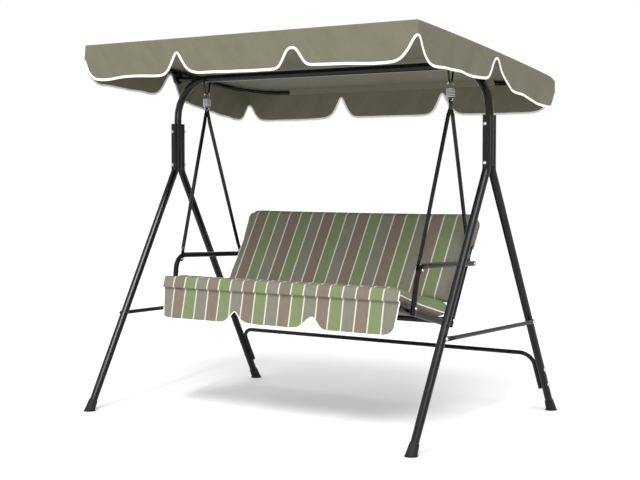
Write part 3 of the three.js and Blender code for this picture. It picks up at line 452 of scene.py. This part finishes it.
def edges_of_valance():
    """For each side of the canopy, its notches and its full depth along it."""
    half = COVER_HIGH.x
    front, rear = COVER_LOW.y, COVER_HIGH.y
    return {
        "front": (
            [Notch(-half, CORNER_TOP, (0.03, 1.2), (0.027, 1.2)),
             Notch(-0.3, 0.058, (0.0305, 1.9), (0.043, 1.5)),
             Notch(0.262, 0.072, (0.047, 3.0), (0.047, 2.6)),
             Notch(half, CORNER_TOP, (0.045, 1.9), (0.045, 1.9))],
            [(-0.7, 0.151), (-0.54, 0.142), (-0.38, 0.147), (-0.15, 0.144), (0.1, 0.148),
             (0.36, 0.139), (0.5, 0.142), (0.63, 0.147)],
        ),
        "right": (
            [Notch(front, CORNER_TOP, (0.045, 2.0), (0.045, 2.0)),
             Notch(0.032, 0.03, (0.061, 2.5), (0.056, 1.5)),
             Notch(rear, CORNER_TOP, (0.034, 1.5), (0.034, 1.5))],
            [(-0.46, 0.149), (-0.33, 0.137), (-0.23, 0.132), (-0.16, 0.134), (-0.07, 0.126),
             (0.17, 0.134), (0.24, 0.131), (0.34, 0.136), (0.43, 0.14)],
        ),
        "rear": (
            [Notch(-half, CORNER_TOP, (0.034, 1.5), (0.034, 1.5)),
             Notch(-0.267, 0.044, (0.038, 1.5), (0.033, 1.6)),
             Notch(0.267, 0.044, (0.034, 1.6), (0.038, 1.5)),
             Notch(half, CORNER_TOP, (0.04, 1.5), (0.034, 1.5))],
            [(-0.6, 0.143), (-0.1, 0.139), (0.1, 0.139), (0.6, 0.143)],
        ),
        "left": (
            [Notch(front, CORNER_TOP, (0.026, 1.2), (0.026, 1.2)),
             Notch(-0.026, 0.03, (0.059, 1.9), (0.05, 1.7)),
             Notch(rear, CORNER_TOP, (0.034, 1.5), (0.034, 1.5))],
            [(-0.49, 0.154), (-0.38, 0.147), (-0.17, 0.141), (0.07, 0.142), (0.385, 0.153)],
        ),
    }


def stations(low, high, tips, lip):
    """Places along two facing edges: close together near their notches, and a lip at each end."""
    places = [low, low + lip]
    while places[-1] < high - 2.4 * lip:
        near = min(abs(places[-1] + 0.005 - tip) for tip in [low, high, *tips])
        places.append(places[-1] + (0.0065 if near < 0.035 else 0.0125))
    return [*places, high - lip, high]


class Folds:
    """Soft vertical folds along an edge, from waves with seeded places and lengths."""

    def __init__(self, seed, height, lengths):
        rng = np.random.default_rng(seed)
        self.height = height
        self.waves = [(length, rng.uniform(0, 2 * math.pi), rng.uniform(0.5, 1.0)) for length in lengths]
        self.total = sum(share for _, _, share in self.waves)

    def at(self, place, lean=0.0):
        wave = sum(
            share * math.sin(2 * math.pi * (place + lean) / length + phase)
            for length, phase, share in self.waves
        )
        return self.height * wave / self.total


def roof_grid(xs, ys):
    """The roof's points and faces, row by row from front to rear, with uv for each face's corners."""
    half, front, rear = COVER_HIGH.x, COVER_LOW.y, COVER_HIGH.y
    middle, reach = (front + rear) / 2, (rear - front) / 2
    points = []
    for y in ys:
        for x in xs:
            inside = (1 - (x / half) ** 2) * (1 - ((y - middle) / reach) ** 2)
            corner = math.hypot(half - abs(x), rear - y) / CORNER_REACH
            soft = CORNER_GIVE * math.exp(-(corner ** 2))
            points.append(Vector((x, y, roof_z(y) - ROOF_SAG * inside - soft)))
    nx = len(xs)
    faces = [
        (j * nx + i, j * nx + i + 1, (j + 1) * nx + i + 1, (j + 1) * nx + i)
        for j in range(len(ys) - 1)
        for i in range(nx - 1)
    ]
    uv = [(xs[v % nx], ys[v // nx]) for face in faces for v in face]
    return points, faces, uv


def edge_loop(xs, ys):
    """The roof's edge points in turn: each one's vertex, side, place along it and outward direction."""
    nx, ny = len(xs), len(ys)
    around = [(i, 0, "front", xs[i]) for i in range(nx)]
    around += [(nx - 1, j, "right", ys[j]) for j in range(1, ny)]
    around += [(i, ny - 1, "rear", xs[i]) for i in range(nx - 2, -1, -1)]
    around += [(0, j, "left", ys[j]) for j in range(ny - 2, 0, -1)]
    loop = []
    for i, j, side, at in around:
        out = Vector(((i == nx - 1) - (i == 0), (j == ny - 1) - (j == 0), 0)).normalized()
        loop.append((j * nx + i, side, at, out))
    return loop


CANOPY_FOLDS = {
    "front": Folds(3, 0.0075, (0.36, 0.21, 0.12)),
    "right": Folds(8, 0.0105, (0.29, 0.18, 0.12)),
    "rear": Folds(5, 0.006, (0.33, 0.2, 0.11)),
    "left": Folds(11, 0.008, (0.28, 0.15, 0.1)),
}


def hanging_point(edge, side, at, out, below):
    """The point of the valance a distance below a point of the roof's edge."""
    ends = (COVER_HIGH.x, -COVER_HIGH.x) if side in ("front", "rear") else (COVER_LOW.y, COVER_HIGH.y)
    calm = smoothstep(min(abs(at - end) for end in ends) / 0.06)
    swing = (below / VALANCE) ** 1.2
    lean = 0.55 if side in ("left", "right") else 0.15
    fold = CANOPY_FOLDS[side].at(at, lean=lean * below) * calm
    flare = 0.003
    if edge.x < 0:
        flare += 0.012 * (1 - calm)
    return edge + out * ((fold + flare) * swing) - Vector((0, 0, below))


def canopy_cover():
    """The roof and its valance in one sheet, and the binding along the hem."""
    half, front, rear = COVER_HIGH.x, COVER_LOW.y, COVER_HIGH.y
    sides = edges_of_valance()
    tips = {side: [notch.at for notch in notches] for side, (notches, _) in sides.items()}
    xs = stations(-half, half, tips["front"] + tips["rear"], ROOF_LIP)
    ys = stations(front, rear, tips["left"] + tips["right"], ROOF_LIP)
    points, faces, corner_uv = roof_grid(xs, ys)
    loop = edge_loop(xs, ys)
    count = len(loop)
    edge = [points[vertex] for vertex, *_ in loop]
    place_along = [0.0]
    for before, after in zip(edge, [*edge[1:], edge[0]]):
        place_along.append(place_along[-1] + (after - before).length)
    around = place_along.pop()
    depth = [hem_depth(at, sides[side][1], sides[side][0]) for _, side, at, _ in loop]

    band = [[vertex for vertex, *_ in loop]]
    band_uv = [[(place, 0.0) for place in place_along]]
    for r in range(BAND_ROWS):
        row, row_uv = [], []
        for k, (_, side, at, out) in enumerate(loop):
            below = ROOF_LIP + (depth[k] - ROOF_LIP) * r / (BAND_ROWS - 1)
            row.append(len(points))
            points.append(hanging_point(edge[k], side, at, out, below))
            row_uv.append((place_along[k], -below))
        band.append(row)
        band_uv.append(row_uv)
    for r in range(BAND_ROWS):
        upper, lower = band_uv[r], band_uv[r + 1]
        for k in range(count):
            n = (k + 1) % count
            faces.append((band[r][k], band[r + 1][k], band[r + 1][n], band[r][n]))
            last = around if n == 0 else place_along[n]
            corner_uv += [upper[k], lower[k], (last, lower[n][1]), (last, upper[n][1])]
    cover = make_object("canopy_cloth", points, faces, corner_uv)
    thicken(cover, 0.0012)
    soften(cover)
    dress(cover, CANOPY_CLOTH, "canopy")
    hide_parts("canopy_cover")

    # The binding follows the hem, its wide side lying along the cloth.
    hem = [points[vertex] for vertex in band[-1]]
    path, wide = [], []
    for k, (_, _, _, out) in enumerate(loop):
        before, after = hem[k - 1], hem[(k + 1) % count]
        path.append((before + hem[k] * 6 + after) / 8 + Vector((0, 0, 0.0035)))
        wide.append((after - before).cross(out).normalized())
    binding = roll("canopy_binding", path, wide, BINDING_HALF_WIDTH, BINDING_HALF_HEIGHT, closed=True)
    soften(binding)
    dress(binding, PIPING, "canopy")
    flat = (2 * half + 2 * VALANCE, rear - front + 2 * VALANCE)
    area = 2 * half * (rear - front) + around * sum(depth) / count
    return cover, binding, flat, area


SLEEVE_R = 0.0098  # to the middle of the cloth; a rail's radius is 0.008


def rail_sleeve(name, rail, reach, inward):
    """A strip sewn under the roof that holds a canopy rail; inward is +1 or -1 along Y."""
    low_x, high_x = reach
    xs = np.linspace(low_x, high_x, 60)
    folds = Folds(len(name), 0.0012, (0.19, 0.11, 0.06))
    rows, uv_rows = [], []
    turn = [(SLEEVE_R * math.cos(a), SLEEVE_R * math.sin(a)) for a in np.linspace(0.78, 1.92, 9) * math.pi]
    hem = [(0.016, None), (0.024, None)]
    for k, (ahead, rise) in enumerate(turn + hem):
        row = []
        for x in xs:
            y = rail.y + inward * ahead
            z = roof_z(y) - 0.0022 if rise is None else rail.z + rise * (1 + folds.at(x) / SLEEVE_R)
            row.append(Vector((x, y, z)))
        rows.append(row)
        uv_rows.append([(x, 0.008 * k) for x in xs])
    sleeve = grid_piece(name, rows, uv_rows)
    thicken(sleeve, 0.001)
    soften(sleeve)
    return dress(sleeve, CANOPY_CLOTH, "canopy")


def build_canopy():
    """The cover with its binding and the two sleeves that hold its rails."""
    cover, binding, flat, area = canopy_cover()
    sleeves = [
        rail_sleeve("front_rail_sleeve", FRONT_RAIL, (-0.54, 0.54), 1),
        rail_sleeve("rear_rail_sleeve", REAR_RAIL, (-0.545, 0.535), -1),
    ]


# ---------------------------------------------------------------- padded pieces
STUFFING_FRAMES = 20


def coordinates(mesh):
    """A mesh's points as rows of X, Y and Z."""
    values = np.zeros(len(mesh.vertices) * 3, np.float32)
    mesh.vertices.foreach_get("co", values)
    return values.reshape(-1, 3).astype(float)


def set_coordinates(mesh, values):
    mesh.vertices.foreach_set("co", values.astype(np.float32).ravel())
    mesh.update()


def remeshed(name, source, voxel):
    """A new piece from a closed solid, its surface cut into even small faces."""
    piece = bpy.data.objects.new(name, source.copy())
    bpy.context.scene.collection.objects.link(piece)
    remesh = piece.modifiers.new("Even faces", "REMESH")
    remesh.mode = "VOXEL"
    remesh.voxel_size = voxel
    bpy.context.view_layer.update()
    made = bpy.data.meshes.new_from_object(piece.evaluated_get(bpy.context.evaluated_depsgraph_get()))
    piece.modifiers.clear()
    piece.data = made
    made.name = name
    made.polygons.foreach_set("use_smooth", [True] * len(made.polygons))
    return piece


def relax(piece, times):
    """Rounds a piece's edges by moving each point towards its neighbours."""
    mesh = bmesh.new()
    mesh.from_mesh(piece.data)
    for _ in range(times):
        bmesh.ops.smooth_vert(
            mesh, verts=mesh.verts, factor=0.5, use_axis_x=True, use_axis_y=True, use_axis_z=True
        )
    mesh.to_mesh(piece.data)
    mesh.free()


def puff(piece, pressure, cap):
    """Swells a closed piece as stuffed cloth does, no point moving further than cap."""
    rest = coordinates(piece.data)
    cloth = piece.modifiers.new("Stuffing", "CLOTH")
    settings = cloth.settings
    settings.quality = 4
    settings.mass = 0.3
    settings.tension_stiffness = 12
    settings.compression_stiffness = 12
    settings.shear_stiffness = 4
    settings.bending_stiffness = 0.6
    settings.use_pressure = True
    settings.uniform_pressure_force = pressure
    settings.effector_weights.gravity = 0
    cloth.point_cache.frame_start = 1
    cloth.point_cache.frame_end = STUFFING_FRAMES
    for step in range(1, STUFFING_FRAMES + 1):
        bpy.context.scene.frame_set(step)
    swollen = piece.evaluated_get(bpy.context.evaluated_depsgraph_get()).to_mesh()
    moved = coordinates(swollen) - rest
    piece.modifiers.remove(cloth)
    bpy.context.scene.frame_set(1)
    length = np.linalg.norm(moved, axis=1, keepdims=True)
    moved *= np.minimum(1.0, cap / np.maximum(length, 1e-9))
    set_coordinates(piece.data, rest + moved)


def seam_path(piece, guide, lift):
    """A guide line drawn on to a piece's surface, lifted by a small distance."""
    tree = BVHTree.FromPolygons(
        [v.co.copy() for v in piece.data.vertices], [tuple(p.vertices) for p in piece.data.polygons]
    )
    path, outward = [], []
    for point in guide:
        place, normal, _, _ = tree.find_nearest(point)
        path.append(place + normal * lift)
        outward.append(normal)
    return path, outward


def dense(points, spacing=0.01):
    """Straight runs between points, as closely spaced points."""
    line = []
    for a, b in zip(points, points[1:]):
        steps = max(1, round((b - a).length / spacing))
        line += [a.lerp(b, k / steps) for k in range(steps)]
    return [*line, points[-1]]


def piping(name, piece, guide, radius):
    """A sewn cord, partly sunk in a cushion of the seat's."""
    path, outward = seam_path(piece, guide, radius * 0.3)
    cord = roll(name, path, outward, radius, radius)
    soften(cord)
    return dress(cord, PIPING, "seat")


def cover_ends(piece, material, is_boxing):
    """Gives a cushion's sideways faces their own cloth, where is_boxing says so of a place."""
    piece.data.materials.append(material)
    half = np.abs(coordinates(piece.data)[:, 0]).max()
    for face in piece.data.polygons:
        if abs(face.center.x) > half - 0.025 and is_boxing(face):
            face.material_index = 1


CUSHION_TOP = (-0.296, 0.563, -0.24)  # a place on the seat cushion's top, and its slope
CUSHION_DEPTH = 0.05
CROWN_DROP = 0.03  # the top comes down this far at the ends, but not under the back cushion
CROWN_REACH = 0.06
CROWN_ENDS = (-0.12, 0.02)
END_SEAM = ((-0.304, 0.539), (-0.14, 0.487), (0.05, 0.437))  # where the top meets the end boxing


def build_seat_cushion():
    """The seat pad: a sloping top that comes down in a crown to a seam at either end."""
    low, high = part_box("seat_cushion")
    cushion = remeshed("seat_pad", NODES["seat_cushion"].data, 0.007)
    points = coordinates(cushion.data)
    top_y, top_z, slope = CUSHION_TOP
    under = top_z + slope * (points[:, 1] - top_y) - CUSHION_DEPTH
    share = np.clip((points[:, 2] - under) / CUSHION_DEPTH, 0, 1)
    outward = np.clip(1 - (high.x - np.abs(points[:, 0])) / CROWN_REACH, 0, 1)
    forward = np.interp(points[:, 1], CROWN_ENDS, (1, 0))
    points[:, 2] -= CROWN_DROP * share * forward * (1 - np.sqrt(1 - outward ** 2))
    # The ends draw in slightly between their corners.
    along = np.clip((points[:, 1] - low.y) / (high.y - low.y), 0, 1)
    points[:, 0] -= np.sign(points[:, 0]) * 0.004 * outward * np.sin(math.pi * along)
    set_coordinates(cushion.data, points)
    relax(cushion, 1)
    puff(cushion, 4.0, 0.008)
    keep_inside(cushion, "seat_cushion", 0.004)
    soften(cushion)
    dress(cushion, SEAT_STRIPES, "seat")

    def below_seam(face):
        seam_z = np.interp(face.center.y, [y for y, _ in END_SEAM], [z for _, z in END_SEAM])
        return face.center.z < seam_z

    cover_ends(cushion, BOXING, below_seam)
    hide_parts("seat_cushion")
    for side in SIDES:
        x = SIGN[side] * (high.x - 0.003)
        guide = dense([Vector((x, y, z)) for y, z in END_SEAM])
        piping(f"seat_piping_{side}", cushion, guide, 0.003)


def keep_inside(piece, node, slack):
    """Holds every point of a piece within its CAD box and a little slack."""
    low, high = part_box(node)
    points = coordinates(piece.data)
    points = np.clip(points, np.array(low) - slack, np.array(high) + slack)
    set_coordinates(piece.data, points)


def post_place(points):
    """Distances along the back posts and ahead of them, from the top rail's axis."""
    from_rail = points - np.array(TOP_RAIL)
    return from_rail @ np.array(POST_DIRECTION), from_rail @ np.array(POST_AHEAD)


HOOD_CORNER = 0.05  # radius of the back cushion's upper corners
SIDE_PULL = 0.005  # its sides draw in this far between their corners
SIDE_THINNING = 0.016  # and the pad is thinner there by this much


def build_back_cushion():
    """The back pad, with the hood that goes over the post tops."""
    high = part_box("back_cushion")[1]
    cushion = remeshed("back_pad", NODES["back_cushion"].data, 0.006)
    points = coordinates(cushion.data)
    up, ahead = post_place(points)
    side = np.sign(points[:, 0])
    # The upper corners are rounded, in the plane of the back.
    across = np.clip(np.abs(points[:, 0]) - (high.x - HOOD_CORNER), 0, None)
    rise = np.clip(up - (up.max() - HOOD_CORNER), 0, None)
    squareness = np.maximum(across, rise) / np.maximum(np.hypot(across, rise), 1e-9)
    points[:, 0] -= side * across * (1 - squareness)
    points -= (rise * (1 - squareness))[:, None] * np.array(POST_DIRECTION)
    # The pad draws in between its corners, and thins towards its sides.
    wide = np.abs(points[:, 0]) / high.x
    middle = np.sin(math.pi * np.clip((up - up.min()) / (up.max() - up.min()), 0, 1))
    pad = np.clip((ahead - 0.022) / 0.02, 0, 1)
    points[:, 0] -= side * SIDE_PULL * pad * middle * np.clip((wide - 0.9) / 0.1, 0, 1)
    edge = np.clip((wide - 0.88) / 0.12, 0, 1)
    thinner = SIDE_THINNING * pad * (1 - np.sqrt(1 - np.minimum(edge, 0.999) ** 2))
    points -= thinner[:, None] * np.array(POST_AHEAD)
    set_coordinates(cushion.data, points)
    relax(cushion, 4)
    puff(cushion, 3.0, 0.006)
    keep_inside(cushion, "back_cushion", 0.004)
    soften(cushion)
    dress(cushion, BACK_STRIPES, "seat")
    cover_ends(cushion, BOXING, lambda face: abs(face.normal.x) > 0.8)
    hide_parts("back_cushion")
    for name in SIDES:
        x = SIGN[name] * (high.x - 0.01)
        guide = dense([
            TOP_RAIL + POST_AHEAD * 0.036 + POST_DIRECTION * -0.06,
            TOP_RAIL + POST_AHEAD * 0.046 + POST_DIRECTION * -0.3,
        ])
        guide = [Vector((x, point.y, point.z)) for point in guide]
        piping(f"back_piping_{name}", cushion, guide, 0.0022)


# ---------------------------------------------------------------- flap
FLAP_TAPER = 0.017  # the hem is narrower than the band by this much at either side
FLAP_TOP_Y = -0.318
FLAP_BAND = 0.046
FLAP_COLUMNS = 148
FLAP_ROWS = 12  # of the hanging cloth
SCALLOP = 0.048  # the hem rises this much at its two notches
FLAP_LIP = 0.002


def build_flap():
    """The band over the cushion's front edge and the scalloped cloth that hangs from it."""
    low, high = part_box("front_flap")
    half = high.x
    top_y = FLAP_TOP_Y
    band_low = high.z - FLAP_BAND
    xs = [-half, *np.linspace(-half + FLAP_LIP, half - FLAP_LIP, FLAP_COLUMNS - 2), half]
    notches = [
        Notch(-0.194, 0.0, (0.034, 1.9), (0.034, 1.35)),
        Notch(0.195, 0.0, (0.04, 1.9), (0.038, 1.9)),
    ]
    folds = Folds(21, 0.0035, (0.31, 0.19, 0.11))
    band_folds = Folds(4, 0.0012, (0.4, 0.17, 0.09))
    profile = [
        (top_y + 0.022, high.z - 0.0035), (top_y + 0.012, high.z - 0.0008), (top_y + 0.004, high.z - 0.002),
        (top_y - 0.001, high.z - 0.007), (top_y - 0.004, high.z - 0.016), (top_y - 0.009, band_low + 0.014),
        (top_y - 0.0125, band_low + 0.004), (top_y - 0.012, band_low), (top_y - 0.009, band_low - 0.001),
        (top_y - 0.004, band_low + 0.004), (top_y - 0.002, band_low - 0.002),
    ]
    band_rows = len(profile)
    rows = [[] for _ in range(band_rows + FLAP_ROWS)]
    uv_rows = [[] for _ in range(band_rows + FLAP_ROWS)]
    hem, area = [], 0.0
    for x in xs:
        lift = max(n.rise(x) for n in notches)
        reach, rise = (0.05, 0.03) if x > 0 else (0.03, 0.012)
        corner = min((half - abs(x)) / reach, 1.0)
        hem_z = low.z + SCALLOP * lift + rise * (1 - math.sqrt(1 - (1 - corner) ** 2))
        for r, (y, z) in enumerate(profile):
            rows[r].append(Vector((x, y - band_folds.at(x), z)))
            uv_rows[r].append((x, -0.008 * r))
        start_y, start_z = profile[-1]
        for r in range(FLAP_ROWS):
            share = (r + 1) / FLAP_ROWS
            z = start_z + (hem_z - start_z) * share
            down = (start_z - z) / (start_z - low.z)
            y = start_y + (low.y - start_y - folds.at(x, lean=0.1 * (start_z - z))) * down
            taper = 1 - FLAP_TAPER * down / half
            rows[band_rows + r].append(Vector((x * taper, y, z)))
            uv_rows[band_rows + r].append((x, -0.07 - (start_z - z)))
        hem.append(rows[-1][-1])
        area += (2 * half / FLAP_COLUMNS) * (0.075 + start_z - hem_z)
    flap = grid_piece("flap_cloth", rows, uv_rows)
    thicken(flap, 0.0016)
    soften(flap)
    dress(flap, STRIPES, "seat")
    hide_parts("front_flap")
    border = [row[0] for row in rows[3:]]
    border += hem[1:-1]
    border += [row[-1] for row in reversed(rows[3:])]
    wide = []
    for before, after in zip([border[0], *border[:-1]], [*border[1:], border[-1]]):
        wide.append((after - before).cross(Vector((0, -1, 0))).normalized())
    binding = roll("flap_binding", border, wide, 0.0026, 0.0018)
    soften(binding)
    dress(binding, PIPING, "seat")


# ---------------------------------------------------------------- slings
def around(axis, radius, start, end, steps=8):
    """Points of an arc round a rail, angles from +Y towards +Z."""
    return [
        (axis.y + radius * math.cos(a), axis.z + radius * math.sin(a))
        for a in np.linspace(start, end, steps)
    ]


def sling(name, profile, half, node, seed):
    """A stretched sheet that follows a profile from front to rear, with slight puckers."""
    xs = np.linspace(-half, half, 72)
    folds = Folds(seed, 0.0016, (0.23, 0.12, 0.07))
    rows, uv_rows, travelled = [], [], 0.0
    for k, (y, z) in enumerate(profile):
        if k:
            travelled += math.dist(profile[k - 1], (y, z))
        rows.append([Vector((x, y, z - folds.at(x, lean=y))) for x in xs])
        uv_rows.append([(x, travelled) for x in xs])
    cloth = grid_piece(name, rows, uv_rows)
    thicken(cloth, 0.0014)
    soften(cloth)
    dress(cloth, SLING_CLOTH, "seat")
    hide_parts(node)
    return cloth, travelled


SEAT_WRAP = 0.0148  # radius at which the seat sling wraps its rails
BACK_WRAP = 0.0132
SEAT_SAG = (
    (-0.24, 0.481), (-0.2, 0.4715), (-0.145, 0.4565), (-0.09, 0.442), (-0.04, 0.4305), (0.01, 0.4215),
    (0.05, 0.4185),
)


def build_slings():
    """The two sheets that carry the cushions, each wrapped round the rails at its ends."""
    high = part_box("seat_sling")[1]
    profile = [
        *around(SEAT_FRONT, SEAT_WRAP, 1.1 * math.pi, 0.42 * math.pi, 10),
        *SEAT_SAG,
        *around(SEAT_REAR, SEAT_WRAP, 0.54 * math.pi, -0.25 * math.pi, 8),
    ]
    seat, length = sling("seat_sling_cloth", profile, high.x, "seat_sling", 31)

    low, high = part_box("back_sling")
    lean = math.atan2(POST_DIRECTION.y, POST_DIRECTION.z)
    reach = TOP_RAIL.z - low.z
    profile = []
    for down in np.linspace(0.41, 0.02, 14):
        ahead = 0.0125 - 0.003 * math.sin(math.pi * down / reach)
        place = TOP_RAIL - POST_DIRECTION * down + POST_AHEAD * ahead
        profile.append((place.y, place.z))
    profile += around(TOP_RAIL, BACK_WRAP, math.pi - lean, -0.35 * math.pi, 10)
    back, length = sling("back_sling_cloth", profile, high.x, "back_sling", 17)


# ---------------------------------------------------------------- springs
SPRING_WIRE = 0.0022
SPRING_COIL = 0.016
SPRING_TURNS = 5.5
SPRING_FOOT = 1.288  # z of the coil's two ends
SPRING_TOP = 1.321
FOOT_HOOK = 0.011  # radii of the hooks
TOP_HOOK = 0.013
HOOK_STEPS = 12


def spring_hook(x, z, radius, turn):
    """A hook's half circle in the plane X-Z, from +X round to -X; turn is -1 for one that hangs."""
    return [
        Vector((x + radius * math.cos(a), 0, z + turn * radius * math.sin(a)))
        for a in np.linspace(0, math.pi * 1.02, HOOK_STEPS)
    ]


def build_springs():
    """Fine round-wire springs that stretch between the hanger loop and the hanger tubes."""
    for side in SIDES:
        low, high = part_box(f"spring_{side}")
        x = (low.x + high.x) / 2
        points = spring_hook(x, low.z + SPRING_WIRE + FOOT_HOOK, FOOT_HOOK, -1)
        steps = int(SPRING_TURNS * 20)
        for k in range(steps + 1):
            a = math.pi + 2 * math.pi * SPRING_TURNS * k / steps
            z = SPRING_FOOT + (SPRING_TOP - SPRING_FOOT) * k / steps
            points.append(Vector((x + SPRING_COIL * math.cos(a), SPRING_COIL * math.sin(a), z)))
        points += spring_hook(x, high.z - SPRING_WIRE - TOP_HOOK, TOP_HOOK, 1)
        hook_across = [Vector((0, 1, 0))] * HOOK_STEPS
        across = hook_across + [Vector((0, 0, 1))] * (steps + 1) + hook_across
        spring = roll(f"coil_spring_{side}", points, across, SPRING_WIRE, SPRING_WIRE)
        spring.data.materials.append(ZINC)
        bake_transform(spring)
        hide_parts(f"spring_{side}")


# ---------------------------------------------------------------- small fasteners and end caps
TURNED_SIDES = 20


def turned(name, profile, at, axis, material, body):
    """A small turned piece; profile gives (distance along the axis, radius), ends on the axis."""
    sides = TURNED_SIDES
    axis = Vector(axis).normalized()
    first = axis.orthogonal().normalized()
    second = axis.cross(first)
    at = Vector(at)
    points = [at + axis * profile[0][0]]
    for along, radius in profile[1:-1]:
        for k in range(sides):
            a = 2 * math.pi * k / sides
            ring = first * (radius * math.cos(a)) + second * (radius * math.sin(a))
            points.append(at + axis * along + ring)
    points.append(at + axis * profile[-1][0])
    rings = len(profile) - 2
    last = len(points) - 1
    faces = []
    for k in range(sides):
        n = (k + 1) % sides
        faces.append((0, 1 + n, 1 + k))
        for r in range(rings - 1):
            a, b = 1 + r * sides, 1 + (r + 1) * sides
            faces.append((a + k, a + n, b + n, b + k))
        tip = 1 + (rings - 1) * sides
        faces.append((tip + k, tip + n, last))
    piece = make_object(name, points, faces)
    piece.data.set_sharp_from_angle(angle=math.radians(40))
    return dress(piece, material, body)


def domed_bolt(name, at, axis, material=ZINC):
    """A dome head on a washer, its flat side at the given place."""
    washer = [(0, 0), (0, 0.0085), (0.0012, 0.0085)]
    dome = [(0.0012, 0.006), (0.0035, 0.0052), (0.005, 0.0034), (0.0056, 0)]
    return turned(name, washer + dome, at, axis, material, "frame")


def end_cap(name, at, axis, radius):
    """A plastic cap pushed into the end of one of the seat's tubes."""
    profile = [(-0.006, 0), (-0.006, radius - 0.002), (0.0003, radius - 0.002), (0.0003, radius - 0.0002),
               (0.0025, radius - 0.0008), (0.004, radius * 0.6), (0.0045, 0)]
    return turned(name, profile, at, axis, PLASTIC, "seat")


REAR_LEG = ((1.005, 0.0215), (0.0, 0.567))  # heights on a rear leg's axis, and its Y there
STABILIZER_BOLTS = {"upper": 0.183, "lower": 0.118}
STABILIZER_R = 0.009
BRACE_END = 0.01  # from a brace's end to its bolt
BRACE_FACE = 0.0035  # a brace's flattened end stands off the leg this far
ARMREST_X = 0.603
ARMREST_R = 0.011


def leg_y(z):
    """Where a rear leg's axis passes a height, below its bend."""
    (top_z, top_y), (foot_z, foot_y) = REAR_LEG
    return top_y + (foot_y - top_y) * (top_z - z) / (top_z - foot_z)


def build_fasteners():
    """The outer heads of the braces' and stabilizer's bolts, and the armrests' end caps."""
    for side in SIDES:
        out = Vector((SIGN[side], 0, 0))
        low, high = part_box(f"rear_leg_{side}")
        leg_face = SIGN[side] * max(abs(low.x), abs(high.x))
        for label, z in STABILIZER_BOLTS.items():
            domed_bolt(f"stabilizer_bolt_{label}_{side}", (leg_face, leg_y(z), z), out)
        low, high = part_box(f"side_brace_{side}")
        for label, y in (("front", low.y + BRACE_END), ("rear", high.y - BRACE_END)):
            place = (leg_face + SIGN[side] * BRACE_FACE, y, (low.z + high.z) / 2)
            domed_bolt(f"brace_bolt_{label}_{side}", place, out)
        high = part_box(f"armrest_{side}")[1]
        place = (SIGN[side] * ARMREST_X, high.y, centre(f"arm_bolt_rear_{side}").z)
        end_cap(f"armrest_cap_{side}", place, (0, 1, 0), ARMREST_R)
    bar_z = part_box("rear_stabilizer_right")[1].z - STABILIZER_R
    place = (0.02, leg_y(bar_z) - STABILIZER_R, bar_z)
    domed_bolt("stabilizer_bolt_middle", place, (0, -1, 0), STEEL)


# ---------------------------------------------------------------- studio
def softbox(name, width, height, energy, place):
    """A rectangular light that faces the middle of the bench."""
    light = bpy.data.lights.new(name, "AREA")
    light.shape = "RECTANGLE"
    light.size = width
    light.size_y = height
    light.energy = energy
    stand = bpy.data.objects.new(name, light)
    stand.location = place
    stand.rotation_mode = "QUATERNION"
    stand.rotation_quaternion = (place - Vector((0, 0, 0.9))).to_track_quat("Z", "Y")
    bpy.context.scene.collection.objects.link(stand)


def build_studio():
    """A plain pale floor, white surroundings, a soft sun and two softboxes."""
    scene = bpy.context.scene
    scene.view_settings.view_transform = "Standard"
    bpy.ops.mesh.primitive_plane_add(size=60, location=(0, 0, -0.001))
    floor = bpy.context.object
    floor.name = "studio_floor"
    paint = Shader("Studio floor", (0.84, 0.84, 0.84, 1), 0.9)
    floor.data.materials.append(paint.material)
    world = bpy.data.worlds.new("Studio")
    world.use_nodes = True
    world.node_tree.nodes["Background"].inputs["Color"].default_value = (1, 1, 1, 1)
    world.node_tree.nodes["Background"].inputs["Strength"].default_value = 1.0
    scene.world = world
    sun = bpy.data.lights.new("Soft sun", "SUN")
    sun.energy = 1.75
    sun.angle = math.radians(26)
    lamp = bpy.data.objects.new("Soft sun", sun)
    elevation, turn = math.radians(50), math.radians(36)
    towards = Vector((
        math.cos(elevation) * math.sin(turn),
        -math.cos(elevation) * math.cos(turn),
        math.sin(elevation),
    ))
    lamp.rotation_mode = "QUATERNION"
    lamp.rotation_quaternion = towards.to_track_quat("Z", "Y")
    scene.collection.objects.link(lamp)
    softbox("Strip softbox", 0.3, 2.4, 150, Vector((1.2, -4.4, 5.2)))
    softbox("Fill softbox", 1.6, 1.2, 38, Vector((1.9, -5.2, 1.0)))


CAMERA_PLACE = (3.1697, -4.5092, 0.9813)
CAMERA_AZIMUTH = math.radians(35.145)  # to the left of +Y
CAMERA_PITCH = math.radians(2.769)  # downwards
CAMERA_LENS = 74.44


def build_camera():
    camera = bpy.data.cameras.new("Camera")
    camera.sensor_width = 36
    camera.lens = CAMERA_LENS
    eye = bpy.data.objects.new("Camera", camera)
    eye.location = CAMERA_PLACE
    forward = Vector((
        -math.sin(CAMERA_AZIMUTH) * math.cos(CAMERA_PITCH),
        math.cos(CAMERA_AZIMUTH) * math.cos(CAMERA_PITCH),
        -math.sin(CAMERA_PITCH),
    ))
    eye.rotation_mode = "QUATERNION"
    eye.rotation_quaternion = forward.to_track_quat("-Z", "Y")
    bpy.context.scene.collection.objects.link(eye)
    bpy.context.scene.camera = eye


finish_cad_nodes()
build_canopy()
build_seat_cushion()
build_back_cushion()
build_flap()
build_slings()
build_springs()
build_fasteners()
build_studio()
build_camera()
